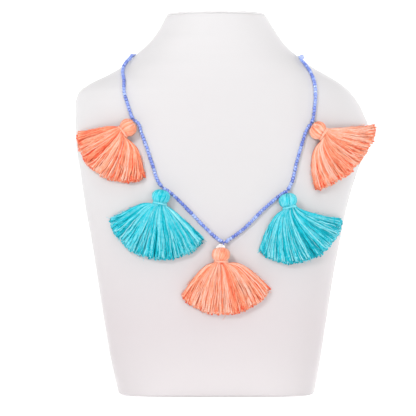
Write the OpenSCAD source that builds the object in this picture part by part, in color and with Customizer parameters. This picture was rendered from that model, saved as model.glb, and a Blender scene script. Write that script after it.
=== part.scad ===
// A necklace of fine beads with five fanned thread tassels, worn on a plain neck bust.
// Millimetres. The origin is the middle of the foot, +Z is up and the front looks towards -Y.

/* [Bust] */
// Height of the bust from the foot to the neck top
bust_h = 216; // [180:1:260]
// Width across the shoulders
shoulder_w = 168; // [150:1:200]
// How far the shoulders sit to the right of the middle
shoulder_shift = 3.3; // [0:0.1:6]
// Depth through the shoulders
shoulder_d = 60; // [54:1:72]
// Width of the foot
foot_w = 111; // [96:1:130]
// Depth of the foot
foot_d = 76; // [68:1:92]
// Width of the neck top
neck_w = 57; // [50:1:70]
// Depth of the neck top
neck_d = 46; // [40:1:56]
// How far the form leans, front to back
lean = 3.5; // [0:0.1:6]
// Radius of the rounding round the foot
foot_round = 1.6; // [0.6:0.1:4]
// Thickness of the cap on the neck
cap_t = 1.3; // [1:0.1:4]
// Height of the seam line under the cap
seam = 0.3; // [0.2:0.05:0.6]

/* [String of beads] */
// Diameter of the string
string_d = 2.2; // [1.6:0.1:3.2]
// Gap between a resting piece and what carries it
rest_gap = 0.2; // [0.1:0.05:0.5]
// Length of the barrel clasp behind the neck
clasp_l = 11; // [8:0.5:16]
// Diameter of the clasp's collars
clasp_d = 4.4; // [3.6:0.1:7]

/* [Tassels] */
// Width of a tassel's head
head_w = 10; // [8:0.1:13]
// Length of a head along its tassel
head_l = 8; // [6.5:0.1:9.5]
// Diameter of the bound throat under a head
throat_d = 7; // [5.6:0.1:7.6]
// Thickness of the binding round the throat
binding_t = 0.6; // [0.4:0.1:1.2]
// Width of the binding along the throat
binding_h = 1.4; // [1:0.1:1.8]
// Clearance of the binding
fit_gap = 0.1; // [0.05:0.05:0.2]
// Diameter of the thread loop that holds a head on the string
loop_d = 0.8; // [0.5:0.1:1.2]
// Free length of a skirt's threads
skirt_l = 31.5; // [24:0.5:38]
// Thickness of a skirt at its hem
hem_t = 4.4; // [3:0.1:6]
// Number of locks in a skirt
locks = 11; // [7:1:13]
// Gap between a skirt and the bust
skirt_gap = 0.4; // [0.3:0.05:0.8]

/* [Hidden] */
// Height share where the shoulders are widest: the widths run from the foot to it, and on to the neck
SHOULDER_AT = 0.70;
// The bust's sections. Left, right and depth are shares of the way to the shoulders' size, from the
// foot's size below the shoulders and from the neck's above them. Lean is a share of the lean,
// and square is the exponent of the rounded section, where 2 is an ellipse.
// height, left, right, depth, lean, square
SECTIONS = [
    [0.000, 0.00, 0.00, 0.00,  0.0, 5.0],
    [0.100, 0.19, 0.12, 0.04, -0.3, 4.6],
    [0.200, 0.34, 0.23, 0.09, -0.6, 4.2],
    [0.300, 0.48, 0.34, 0.17, -0.8, 3.8],
    [0.400, 0.62, 0.47, 0.30, -1.0, 3.4],
    [0.500, 0.78, 0.62, 0.46, -1.0, 3.1],
    [0.580, 0.88, 0.79, 0.68, -0.8, 2.9],
    [0.650, 0.98, 0.96, 0.88, -0.6, 2.7],
    [0.700, 1.00, 1.00, 1.00, -0.5, 2.6],
    [0.730, 1.00, 0.96, 0.92, -0.4, 2.6],
    [0.760, 1.00, 0.91, 0.82, -0.3, 2.5],
    [0.790, 0.97, 0.83, 0.70, -0.1, 2.5],
    [0.815, 0.84, 0.73, 0.60,  0.0, 2.4],
    [0.835, 0.67, 0.61, 0.52,  0.1, 2.4],
    [0.855, 0.52, 0.48, 0.44,  0.1, 2.4],
    [0.880, 0.39, 0.35, 0.34,  0.2, 2.3],
    [0.900, 0.30, 0.26, 0.27,  0.3, 2.3],
    [0.925, 0.19, 0.17, 0.19,  0.3, 2.3],
    [0.950, 0.11, 0.11, 0.12,  0.4, 2.2],
    [0.975, 0.05, 0.05, 0.06,  0.5, 2.2],
    [1.000, 0.00, 0.00, 0.00,  0.6, 2.2],
];
LEFT = 1;
RIGHT = 2;
DEPTH = 3;
LEAN = 4;
SQUARE = 5;

// The string's way over the bust, from behind the left shoulder to the front and back again.
// Across is a share of the half width at that height, with -1 and 1 on the left and right edges,
// height a share of the bust's height, and side is -1 on the front and 1 on the back.
FRONT = -1;
BACK = 1;
// across, height, side
ROUTE = [
    [-0.450, 0.883, BACK],
    [-0.820, 0.884, BACK],
    [-1.000, 0.886, BACK],
    [-0.980, 0.881, FRONT],
    [-0.960, 0.867, FRONT],
    [-0.925, 0.854, FRONT],
    [-0.830, 0.836, FRONT],
    [-0.710, 0.814, FRONT],
    [-0.645, 0.784, FRONT],
    [-0.615, 0.756, FRONT],
    [-0.595, 0.733, FRONT],
    [-0.585, 0.721, FRONT],
    [-0.563, 0.711, FRONT],
    [-0.535, 0.701, FRONT],
    [-0.520, 0.682, FRONT],
    [-0.485, 0.642, FRONT],
    [-0.455, 0.598, FRONT],
    [-0.410, 0.546, FRONT],
    [-0.385, 0.535, FRONT],
    [-0.335, 0.523, FRONT],
    [-0.220, 0.483, FRONT],
    [-0.085, 0.434, FRONT],
    [ 0.020, 0.403, FRONT],
    [ 0.060, 0.396, FRONT],
    [ 0.100, 0.404, FRONT],
    [ 0.205, 0.430, FRONT],
    [ 0.350, 0.481, FRONT],
    [ 0.480, 0.522, FRONT],
    [ 0.505, 0.528, FRONT],
    [ 0.520, 0.538, FRONT],
    [ 0.540, 0.606, FRONT],
    [ 0.555, 0.655, FRONT],
    [ 0.575, 0.685, FRONT],
    [ 0.595, 0.701, FRONT],
    [ 0.620, 0.713, FRONT],
    [ 0.640, 0.731, FRONT],
    [ 0.690, 0.774, FRONT],
    [ 0.745, 0.807, FRONT],
    [ 0.830, 0.838, FRONT],
    [ 0.885, 0.856, FRONT],
    [ 0.920, 0.871, FRONT],
    [ 1.000, 0.881, BACK],
    [ 0.820, 0.880, BACK],
    [ 0.450, 0.880, BACK],
];
// Height share of the clasp, at the middle of the neck's back
CLASP_AT = 0.882;
// Longest stretch of the string between two rings, in diameters
RING_PITCH = 2.2;

// The tassels. Knot is the string's point that a tassel hangs from, aside the direction from it to
// the head, tilt the head's own, and the fan runs from its first thread to its last. The threads at
// the fan's two edges leave the throat turned outwards by their rise. All are in degrees from
// straight down towards the right. Slack is the bare loop in string diameters, plump the height of
// the head's top as a share of the usual one, and flare is how far in millimetres the fan's two
// edges swing out under the binding. The three reaches are the threads' lengths at the fan's first
// edge, middle and last, as shares of the skirt's.
// name, colour, knot, aside, slack, tilt, plump,
//     fan from, to, flare from, to, rise from, to, reach from, mid, to
CORAL = "lightsalmon";
TURQUOISE = "mediumturquoise";
TASSELS = [
    ["coral_left",      CORAL,     12, -34, 0.00, -52, 1.1,
        -89,  19, 0.9,  4.1,  2, 13, 0.86, 0.85, 0.86],
    ["turquoise_left",  TURQUOISE, 18, -12, 0.00,  -9, 1.0,
        -68,  50, 3.9,  0.8, -3,  3, 0.89, 0.98, 1.03],
    ["coral_centre",    CORAL,     23, -16, 0.75,   0, 1.0,
        -45,  55, 2.4,  4.1,  9,  9, 0.91, 0.94, 0.95],
    ["turquoise_right", TURQUOISE, 28,   2, 0.20,  13, 1.0,
        -30,  80, 2.3, -0.8, 11, -5, 0.94, 1.00, 1.04],
    ["coral_right",     CORAL,     33,  46, 0.00,  58, 1.1,
         -3, 102, 4.0,  0.2, 17, -4, 0.95, 0.81, 1.02],
];
NAME = 0;
COLOUR = 1;
KNOT = 2;
ASIDE = 3;
SLACK = 4;
TILT = 5;
PLUMP = 6;
FAN_FROM = 7;
FAN_TO = 8;
FLARE_FROM = 9;
FLARE_TO = 10;
RISE_FROM = 11;
RISE_TO = 12;
REACH_FROM = 13;
REACH_MID = 14;
REACH_TO = 15;

// The skirt's sections from the hem to the throat.
// along is the share of the threads' length, thick a share of the skirt's thickness there
SKIRT_SECTIONS = [
    [1.00, 0.66],
    [0.96, 0.96],
    [0.80, 1.00],
    [0.62, 1.02],
    [0.45, 1.05],
    [0.30, 1.05],
    [0.17, 1.02],
    [0.07, 1.00],
    [0.00, 1.00],
];
ALONG = 0;
THICK = 1;
// A lock's front from side to side: share of its width, share of the skirt's thickness
LOCK_FRONT = [
    [0.06, 0.52],
    [0.32, 1.00],
    [0.68, 0.96],
    [0.94, 0.46],
];
// Share of its length by which one lock of three is shorter than the one before it
LOCK_SHORT = 0.012;
// Share of the throat's width that the threads' starts are spread over
ROOT_SPREAD = 1.15;
// Thickness of the skirt at the throat as a share of the throat's, and how far it thins to its sides
ROOT_THICK = 0.8;
ROOT_ROUND = 0.8;
// Share of the threads' length within which most of the flare happens
FLARE_AT = 0.09;
// Share of the threads' length at which they have come down onto the skin from the throat
SETTLED_AT = 0.7;
// Distance of the binding from a head's middle, as a share of the head's length, and of the threads'
// starts from the binding
BINDING_AT = 0.42;
SKIRT_DROP = 0.3;
// Distance that the bound throat reaches down into the skirt
THROAT_SUNK = 1;
// The head's upper half: share of its height, share of its half width
HEAD_TOP = [
    [1.00, 0.00],
    [0.97, 0.26],
    [0.88, 0.50],
    [0.72, 0.71],
    [0.50, 0.87],
    [0.25, 0.97],
    [0.00, 1.00],
];
// The head's lower half, full down to the binding: share of the way there, share of the half width
HEAD_LOW = [
    [0.30, 0.99],
    [0.55, 0.95],
    [0.78, 0.88],
    [0.93, 0.79],
];
// The binding's profile: share of its width, share of its thickness
BINDING_FORM = [
    [0.00, 0.60],
    [0.25, 1.00],
    [0.75, 1.00],
    [1.00, 0.60],
];
// The clasp's profile from an end to the barrel: share of its half length, radius as a share of its
// diameter
CLASP_FORM = [
    [1.00, 0.36],
    [0.89, 0.50],
    [0.68, 0.50],
    [0.62, 0.41],
];
// The foot's rounding: share of its radius up, share of its radius drawn in
FOOT_FORM = [
    [0.0, 1.0],
    [0.3, 0.3],
    [1.0, 0.0],
];
// Share of the half width past which a piece rests as it would there
EDGE_AT = 0.96;
// Least share of the resting distance that looks forward, where the skin slants away
LEAST_FORWARD = 0.5;

BUST_SIDES = 44;
STRING_SIDES = 8;
HEAD_SIDES = 20;
LOOP_SIDES = 6;
LOOP_RINGS = 14;
SLOPE_STEP = 0.5;
// Room between a thread loop and the bent string inside it, in gaps
LOOP_ROOM = 3;

function unit(v) = v / norm(v);
function mix(a, b, t) = a + (b - a) * t;
function signed_power(v, e) = sign(v) * pow(abs(v), e);
function column(i, h) = lookup(h, [for (r = SECTIONS) [r[0], r[i]]]);

// The bust's form at a height share
function reach_side(h, i) =
    let (end = (h < SHOULDER_AT ? foot_w : neck_w) / 2)
    let (full = shoulder_w / 2 + (i == LEFT ? -1 : 1) * shoulder_shift)
    mix(end, full, column(i, h));
function half_w(h, x) = reach_side(h, x < 0 ? LEFT : RIGHT);
function half_d(h) = mix((h < SHOULDER_AT ? foot_d : neck_d) / 2, shoulder_d / 2, column(DEPTH, h));
function mid_y(h) = lean * column(LEAN, h);

// A point of the section at a height share, round it by an angle, drawn in by an inset
function skin_point(a, h, inset = 0) =
    let (e = 2 / column(SQUARE, h))
    [
        (half_w(h, cos(a)) - inset) * signed_power(cos(a), e),
        mid_y(h) + (half_d(h) - inset) * signed_power(sin(a), e),
        h * bust_h
    ];

// The skin's depth at a place across and up: the section's own curve solved for y
function skin_y(x, z, side) =
    let (h = z / bust_h, n = column(SQUARE, h), u = min(abs(x) / half_w(h, x), 1))
    mid_y(h) + side * half_d(h) * pow(1 - pow(u, n), 1 / n);

// How far a point lies outside the skin, as a number that is 0 on it, and that number's slope
function outside(p) =
    let (h = p[2] / bust_h, n = column(SQUARE, h))
    pow(abs(p[0]) / half_w(h, p[0]), n) + pow(abs(p[1] - mid_y(h)) / half_d(h), n) - 1;
function slope(p) = [
    for (step = [[SLOPE_STEP, 0, 0], [0, SLOPE_STEP, 0], [0, 0, SLOPE_STEP]])
        (outside(p + step) - outside(p - step)) / (2 * SLOPE_STEP)
];
function normal(p) = unit(slope(p));

// A point moved out along the normal as far as it takes to leave room to the skin
function clear_of_skin(p, room) =
    let (g = slope(p))
    p + max(0, room - outside(p) / norm(g)) * unit(g);

// The y at which a section of given half thickness and half width rests a gap in front of the skin,
// also past its edges: the far side of an ellipse from the slanting skin
function rest_y(x, z, gap, thick, wide = 0) =
    let (h = z / bust_h, far = EDGE_AT * half_w(h, x), xc = max(-far, min(far, x)))
    let (y = skin_y(xc, z, FRONT), n = normal([xc, y, z]))
    y - (norm([thick * n[1], wide * norm([n[0], n[2]])]) + gap) / max(LEAST_FORWARD, -n[1]);

// The string: its few points over the skin, higher where a thread loop passes behind it
LOOP_KNOTS = [for (t = TASSELS) t[KNOT]];
loop_r = string_d / 2 + LOOP_ROOM * rest_gap + loop_d / 2;
function lift(i) = rest_gap + (search(i, LOOP_KNOTS) == [] ? string_d / 2 : loop_r + loop_d / 2);
function on_skin(i) =
    let (r = ROUTE[i], z = r[1] * bust_h, x = r[0] * half_w(r[1], r[0]), p = [x, skin_y(x, z, r[2]), z])
    p + lift(i) * normal(p);
clasp_centre =
    let (z = CLASP_AT * bust_h, p = [0, skin_y(0, z, BACK), z])
    p + (clasp_d / 2 + rest_gap) * normal(p);
clasp_end = [clasp_l / 2 + rest_gap, 0, 0];
knots = [for (i = [0 : len(ROUTE) - 1]) on_skin(i)];
stops = concat([clasp_centre - clasp_end], knots, [clasp_centre + clasp_end]);
last = len(stops) - 1;
function span(i) = norm(stops[i + 1] - stops[i]);
function heading(i) =
    i == 0 ? [-1, 0, 0] :
    i == last ? [-1, 0, 0] :
    let (a = span(i - 1), b = span(i))
    ((stops[i] - stops[i - 1]) / a * b + (stops[i + 1] - stops[i]) / b * a) / (a + b);
function curve(i, t) =
    let (l = span(i), t2 = t * t, t3 = t2 * t)
    (2 * t3 - 3 * t2 + 1) * stops[i] + (t3 - 2 * t2 + t) * l * heading(i)
    + (3 * t2 - 2 * t3) * stops[i + 1] + (t3 - t2) * l * heading(i + 1);
function steps(i) = max(1, round(span(i) / (RING_PITCH * string_d)));
string_path = concat(
    [stops[0]],
    [for (i = [0 : last - 1]) for (k = [1 : steps(i)])
        if (i < last - 1 || k < steps(i)) clear_of_skin(curve(i, k / steps(i)), string_d / 2 + rest_gap)],
    [stops[last]]
);

// A ring of points round a place, its plane square to the heading, with a first direction to start from
function ring(centre, along, first, wide, thick, sides) =
    let (t = unit(along), a = unit(first - (first * t) * t), b = cross(t, a))
    [for (k = [0 : sides - 1])
        centre + wide * cos(360 * k / sides) * a + thick * sin(360 * k / sides) * b];

// Faces between rings of equal size, split into triangles, and flat ends
function wall_faces(rings, sides) = [
    for (i = [0 : rings - 2]) for (k = [0 : sides - 1])
        let (a = i * sides, b = a + sides, n = (k + 1) % sides)
        for (f = [[a + k, b + k, b + n], [a + k, b + n, a + n]]) f
];
function end_faces(rings, sides) = [
    [for (k = [0 : sides - 1]) k],
    [for (k = [sides - 1 : -1 : 0]) (rings - 1) * sides + k]
];
function flat(list) = [for (l = list) for (p = l) p];
function reversed(list) = [for (i = [len(list) - 1 : -1 : 0]) list[i]];

module loft(rings) {
    sides = len(rings[0]);
    polyhedron(flat(rings), concat(wall_faces(len(rings), sides), end_faces(len(rings), sides)));
}

function bust_ring(h, inset = 0) = [
    for (k = [0 : BUST_SIDES - 1]) skin_point(360 * k / BUST_SIDES, h, inset)
];

module neck_bust() {
    cap_at = 1 - (cap_t + seam) / bust_h;
    color("white") loft(concat(
        [for (r = FOOT_FORM) bust_ring(r[0] * foot_round / bust_h, r[1] * foot_round)],
        [for (r = SECTIONS) if (r[0] * bust_h > foot_round && r[0] < cap_at) bust_ring(r[0])],
        [bust_ring(cap_at)]
    ));
}

module neck_cap() {
    color("white") translate([0, 0, bust_h - cap_t]) linear_extrude(cap_t)
        polygon([for (p = bust_ring(1)) [p[0], p[1]]]);
}

module bead_string() {
    n = len(string_path);
    color("cornflowerblue") loft([
        for (i = [0 : n - 1])
            let (p = string_path[i])
            let (ahead = string_path[min(i + 1, n - 1)], behind = string_path[max(i - 1, 0)])
            let (along = i == 0 || i == n - 1 ? [-1, 0, 0] : ahead - behind)
            ring(p, along, normal(p), string_d / 2, string_d / 2, STRING_SIDES)
    ]);
}

// A barrel with a collar at each end, lying across the back of the neck
module clasp() {
    side = [for (p = CLASP_FORM) [p[1] * clasp_d, p[0] * clasp_l / 2]];
    color("silver") translate(clasp_centre) rotate([0, 90, 0]) rotate_extrude($fn = 48)
        polygon(concat(
            [[0, clasp_l / 2]], side, reversed([for (p = side) [p[0], -p[1]]]), [[0, -clasp_l / 2]]
        ));
}

skirt_at = BINDING_AT * head_l + binding_h + SKIRT_DROP;

// Directions in the plane of the front, by an angle from straight down towards the right
function down(a) = [sin(a), 0, -cos(a)];
function across(a) = [cos(a), 0, sin(a)];

// The head's middle: under its knot by the least drop at which head and string clear each other
function knot_of(t) = knots[t[KNOT]];
function least_drop(t) =
    let (string_r = string_d / 2 + rest_gap, behind = head_w / 2 - loop_r - loop_d / 2)
    (t[PLUMP] * head_l / 2 + string_r) * sqrt(1 - pow(behind / (head_w / 2 + string_r), 2));
function head_of(t) =
    let (p = knot_of(t) + (least_drop(t) + t[SLACK] * string_d) * down(t[ASIDE]))
    [p[0], rest_y(p[0], p[2], rest_gap, head_w / 2, head_w / 2), p[2]];

// A parabola through three values at the fan's first edge, middle and last
function through(from, mid, to, f) =
    from * (1 - f) * (1 - 2 * f) + mid * 4 * f * (1 - f) + to * f * (2 * f - 1);

// A lock's middle line in the plane of the fan, at a share f of the fan and a share s of its length:
// from its place across the throat, turned outwards by its rise, to its tip. The flare moves it
// sideways, half way between square to the tassel and square to the lock.
function skirt_start(t) = head_of(t) + skirt_at * down(t[TILT]);
function lock_length(t, f) = skirt_l * through(t[REACH_FROM], t[REACH_MID], t[REACH_TO], f);
function lock_flare(t, f, s) = mix(-t[FLARE_FROM], t[FLARE_TO], f) * (1 - exp(-s / FLARE_AT));
function lock_line(t, f, s) =
    let (a = mix(t[FAN_FROM], t[FAN_TO], f), rising = a + mix(-t[RISE_FROM], t[RISE_TO], f))
    let (start = (f - 0.5) * ROOT_SPREAD * throat_d * across(t[TILT]), l = lock_length(t, f))
    skirt_start(t) + (1 - s) * start + s * (1 - s) * l * down(rising) + s * s * l * down(a)
    + lock_flare(t, f, s) * across((a + t[TILT]) / 2);

// A point on the skirt's front or back, at a place c across lock i and a share s of its length. The
// back rests on the skin once the threads have come down to it from the throat.
function skirt_point(t, i, c, s, thick_share, side) =
    let (f = (i + c[0]) / locks, p = lock_line(t, f, s * (1 - LOCK_SHORT * (i % 3))))
    let (throat = ROOT_THICK * throat_d * sqrt(1 - ROOT_ROUND * pow(2 * f - 1, 2)))
    let (thick = thick_share * mix(throat, hem_t, s) / 2, seat = rest_y(p[0], p[2], skirt_gap, thick))
    let (y = min(seat, mix(head_of(t)[1], seat, min(1, s / SETTLED_AT))))
    [p[0], y + (side == FRONT ? -c[1] : 1) * thick, p[2]];
function skirt_row(t, s, thick_share, side) = [
    for (i = [0 : locks - 1]) for (c = LOCK_FRONT) skirt_point(t, i, c, s, thick_share, side)
];

// The locks side by side as one skin, closed at the throat and along the stepped hem
module skirt(t) {
    rings = [
        for (r = SKIRT_SECTIONS)
            concat(skirt_row(t, r[ALONG], r[THICK], FRONT), reversed(skirt_row(t, r[ALONG], r[THICK], BACK)))
    ];
    sides = len(rings[0]);
    top = (len(rings) - 1) * sides;
    hem = [
        for (k = [0 : sides / 2 - 2])
            for (f = [[k, k + 1, sides - 2 - k], [k, sides - 2 - k, sides - 1 - k]]) f
    ];
    throat = [for (f = hem) [for (v = reversed(f)) top + v]];
    polyhedron(flat(rings), concat(wall_faces(len(rings), sides), hem, throat));
}

// Spans between rings, each the convex skin over two of them
module spans(rings, joined = false) {
    n = len(rings);
    for (i = [0 : n - (joined ? 1 : 2)]) {
        hull() polyhedron(concat(rings[i], rings[(i + 1) % n]), end_faces(2, len(rings[i])));
    }
}

// The thread loop: an oval square to the string, down into the head as far as level with its middle
module hanging_loop(t) {
    knot = knot_of(t);
    along = unit(heading(t[KNOT] + 1));
    to_head = head_of(t) - knot;
    down_loop = unit(to_head - (to_head * along) * along);
    behind = cross(along, down_loop);
    under = to_head * down_loop;
    middle = knot + (under - loop_r) / 2 * down_loop;
    spans([
        for (k = [0 : LOOP_RINGS - 1])
            let (a = 360 * k / LOOP_RINGS)
            let (p = middle + (under + loop_r) / 2 * cos(a) * down_loop + loop_r * sin(a) * behind)
            let (q = loop_r * cos(a) * behind - (under + loop_r) / 2 * sin(a) * down_loop)
            ring(p, q, along, loop_d / 2, loop_d / 2, LOOP_SIDES)
    ], joined = true);
}

// Puts a piece modelled along +Z on a tassel's axis, at a distance from the head's middle
module on_axis(t, distance) {
    translate(head_of(t) + distance * down(t[TILT])) rotate([0, 180 - t[TILT], 0]) children();
}

// The gathered head and the throat under it, full down to the binding, which it clears by the gap
module head(t) {
    top = t[PLUMP] * head_l / 2;
    low = BINDING_AT * head_l - fit_gap;
    end = skirt_at + THROAT_SUNK;
    on_axis(t, 0) rotate_extrude($fn = HEAD_SIDES) polygon(concat(
        [for (p = HEAD_TOP) [p[1] * head_w / 2, -p[0] * top]],
        [for (p = HEAD_LOW) [p[1] * head_w / 2, p[0] * low]],
        [[throat_d / 2, low], [throat_d / 2, end], [0, end]]
    ));
}

module tassel(t) {
    color(t[COLOUR]) union() {
        head(t);
        hanging_loop(t);
        skirt(t);
    }
}

module binding(t) {
    inner = throat_d / 2 + fit_gap;
    color(t[COLOUR]) on_axis(t, BINDING_AT * head_l) rotate_extrude($fn = 48) polygon(concat(
        [[inner, 0]], [for (p = BINDING_FORM) [inner + p[1] * binding_t, p[0] * binding_h]],
        [[inner, binding_h]]
    ));
}

neck_bust();
neck_cap();
bead_string();
clasp();
for (t = TASSELS) {
    tassel(t);
    binding(t);
}
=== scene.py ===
"""A collar-length string of fine glossy beads with five fanned thread tassels, worn on a neck bust.

Shapes are worked out in millimetres and written to their meshes in metres. The origin is the middle
of the bust's foot, +Z is up, the front with the tassels looks towards -Y, and +X is to the right.
"""
from __future__ import annotations

import logging
from dataclasses import dataclass, field
from enum import Enum

import bpy
import numpy as np
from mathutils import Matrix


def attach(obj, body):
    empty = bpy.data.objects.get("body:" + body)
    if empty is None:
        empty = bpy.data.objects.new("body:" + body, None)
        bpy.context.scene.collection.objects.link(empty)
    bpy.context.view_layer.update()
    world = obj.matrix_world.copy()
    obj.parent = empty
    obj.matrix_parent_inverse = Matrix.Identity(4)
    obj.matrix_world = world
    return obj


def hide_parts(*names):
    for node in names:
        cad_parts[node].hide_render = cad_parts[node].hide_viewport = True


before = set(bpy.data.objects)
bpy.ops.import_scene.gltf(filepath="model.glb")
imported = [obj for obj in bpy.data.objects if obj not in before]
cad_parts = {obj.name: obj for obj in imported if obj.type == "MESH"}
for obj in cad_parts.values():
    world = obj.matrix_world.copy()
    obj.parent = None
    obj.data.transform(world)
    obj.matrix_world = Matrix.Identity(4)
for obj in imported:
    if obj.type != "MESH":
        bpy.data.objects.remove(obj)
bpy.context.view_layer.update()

Array = np.ndarray
Triple = tuple[float, float, float]
Colour = Triple
LOG = logging.getLogger("necklace")
METRE = 0.001

# The bust's sections, as in the part's source: height, left, right, depth, lean, square
SHOULDER_AT = 0.70
SECTIONS = np.array([
    [0.000, 0.00, 0.00, 0.00, 0.0, 5.0],
    [0.100, 0.19, 0.12, 0.04, -0.3, 4.6],
    [0.200, 0.34, 0.23, 0.09, -0.6, 4.2],
    [0.300, 0.48, 0.34, 0.17, -0.8, 3.8],
    [0.400, 0.62, 0.47, 0.30, -1.0, 3.4],
    [0.500, 0.78, 0.62, 0.46, -1.0, 3.1],
    [0.580, 0.88, 0.79, 0.68, -0.8, 2.9],
    [0.650, 0.98, 0.96, 0.88, -0.6, 2.7],
    [0.700, 1.00, 1.00, 1.00, -0.5, 2.6],
    [0.730, 1.00, 0.96, 0.92, -0.4, 2.6],
    [0.760, 1.00, 0.91, 0.82, -0.3, 2.5],
    [0.790, 0.97, 0.83, 0.70, -0.1, 2.5],
    [0.815, 0.84, 0.73, 0.60, 0.0, 2.4],
    [0.835, 0.67, 0.61, 0.52, 0.1, 2.4],
    [0.855, 0.52, 0.48, 0.44, 0.1, 2.4],
    [0.880, 0.39, 0.35, 0.34, 0.2, 2.3],
    [0.900, 0.30, 0.26, 0.27, 0.3, 2.3],
    [0.925, 0.19, 0.17, 0.19, 0.3, 2.3],
    [0.950, 0.11, 0.11, 0.12, 0.4, 2.2],
    [0.975, 0.05, 0.05, 0.06, 0.5, 2.2],
    [1.000, 0.00, 0.00, 0.00, 0.6, 2.2],
])

# The string's way over the bust: share across, share of the height, and side (-1 front, 1 back)
ROUTE = np.array([
    [-0.450, 0.883, 1], [-0.820, 0.884, 1], [-1.000, 0.886, 1], [-0.980, 0.881, -1],
    [-0.960, 0.867, -1], [-0.925, 0.854, -1], [-0.830, 0.836, -1], [-0.710, 0.814, -1],
    [-0.645, 0.784, -1], [-0.615, 0.756, -1], [-0.595, 0.733, -1], [-0.585, 0.721, -1],
    [-0.563, 0.711, -1], [-0.535, 0.701, -1], [-0.520, 0.682, -1], [-0.485, 0.642, -1],
    [-0.455, 0.598, -1], [-0.410, 0.546, -1], [-0.385, 0.535, -1], [-0.335, 0.523, -1],
    [-0.220, 0.483, -1], [-0.085, 0.434, -1], [0.020, 0.403, -1], [0.060, 0.396, -1],
    [0.100, 0.404, -1], [0.205, 0.430, -1], [0.350, 0.481, -1], [0.480, 0.522, -1],
    [0.505, 0.528, -1], [0.520, 0.538, -1], [0.540, 0.606, -1], [0.555, 0.655, -1],
    [0.575, 0.685, -1], [0.595, 0.701, -1], [0.620, 0.713, -1], [0.640, 0.731, -1],
    [0.690, 0.774, -1], [0.745, 0.807, -1], [0.830, 0.838, -1], [0.885, 0.856, -1],
    [0.920, 0.871, -1], [1.000, 0.881, 1], [0.820, 0.880, 1], [0.450, 0.880, 1],
])

# A bead's profile: distance from its axis and place along it, in shares of its radius and length
BEAD_PROFILE = np.array([
    [0.34, -0.36], [0.66, -0.49], [0.98, -0.25], [0.98, 0.25], [0.66, 0.49], [0.34, 0.36],
])


class Column(Enum):
    """What a column of the bust's sections holds."""

    LEFT = 1
    RIGHT = 2
    DEPTH = 3
    LEAN = 4
    SQUARE = 5


class Side(Enum):
    """Which side of the bust a point lies on."""

    FRONT = -1
    BACK = 1


class Yarn(Enum):
    """The two colours of tassel thread."""

    CORAL = "coral"
    TURQUOISE = "turquoise"


# ---------------------------------------------------------------------------------------------
# Small sums on arrays of points
# ---------------------------------------------------------------------------------------------

def mix(start: Array | float, end: Array | float, share: Array | float) -> Array:
    """Straight blend from start to end."""
    return start + (end - start) * share


def smoothstep(value: Array) -> Array:
    """Soft step that is 0 below 0 and 1 above 1."""
    t = np.clip(value, 0.0, 1.0)
    return t * t * (3.0 - 2.0 * t)


def unit(vectors: Array) -> Array:
    """Vectors along the last axis, brought to length 1."""
    return vectors / np.maximum(np.linalg.norm(vectors, axis=-1, keepdims=True), 1e-12)


def square_to(vectors: Array, along: Array) -> Array:
    """Unit vectors nearest to the given ones that are square to the unit vectors along."""
    return unit(vectors - (vectors * along).sum(-1, keepdims=True) * along)


def angles_round(count: int) -> Array:
    """Even angles round a circle."""
    return 2 * np.pi * np.arange(count) / count


def circle(first: Array, second: Array, sides: int) -> Array:
    """Directions at even angles round a circle, with its first two square directions given."""
    angle = angles_round(sides)[:, None]
    return first[..., None, :] * np.cos(angle) + second[..., None, :] * np.sin(angle)


def down(angle: Array | float) -> Array:
    """Direction in the plane of the front, by degrees from straight down towards the right."""
    a = np.radians(angle)
    return np.stack([np.sin(a), np.zeros_like(a), -np.cos(a)], axis=-1)


def across(angle: Array | float) -> Array:
    """Direction square to down(angle) in the plane of the front."""
    a = np.radians(angle)
    return np.stack([np.cos(a), np.zeros_like(a), np.sin(a)], axis=-1)


def hermite(t: Array, start: Array, end: Array, leaving: Array, arriving: Array) -> Array:
    """Cubic from start to end while t goes from 0 to 1, with its slopes at both ends.

    Args:
        t: Shares of the way.
        start: Values at 0.
        end: Values at 1.
        leaving: Slopes at 0.
        arriving: Slopes at 1.

    Returns:
        The cubic's values.
    """
    return (
        (2 * t**3 - 3 * t**2 + 1) * start + (t**3 - 2 * t**2 + t) * leaving
        + (3 * t**2 - 2 * t**3) * end + (t**3 - t**2) * arriving
    )


def smooth_through(places: Array, values: Array, at: Array) -> Array:
    """Curve through values at places that never overshoots them.

    Each slope is the harmonic mean of the two slopes beside it, or 0 at a peak, and a cubic with
    those slopes joins each pair of values.

    Args:
        places: Rising places of the given values.
        values: The values there.
        at: Places to work the curve out at.

    Returns:
        The curve's values.
    """
    gaps = np.diff(places)
    rates = np.diff(values) / gaps
    product = rates[:-1] * rates[1:]
    total = rates[:-1] + rates[1:]
    inner = np.where(product > 0, 2.0 * product / np.where(total == 0, 1.0, total), 0.0)
    slopes = np.concatenate([[rates[0]], inner, [rates[-1]]])
    k = np.clip(np.searchsorted(places, at, side="right") - 1, 0, len(gaps) - 1)
    t = (at - places[k]) / gaps[k]
    return hermite(t, values[k], values[k + 1], gaps[k] * slopes[k], gaps[k] * slopes[k + 1])


def length_along(path: Array) -> Array:
    """Length from a path's first point to each point, for paths along the last two axes."""
    steps = np.linalg.norm(np.diff(path, axis=-2), axis=-1)
    return np.concatenate([np.zeros(steps.shape[:-1] + (1,)), np.cumsum(steps, axis=-1)], axis=-1)


# ---------------------------------------------------------------------------------------------
# Surfaces and meshes
# ---------------------------------------------------------------------------------------------

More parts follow.
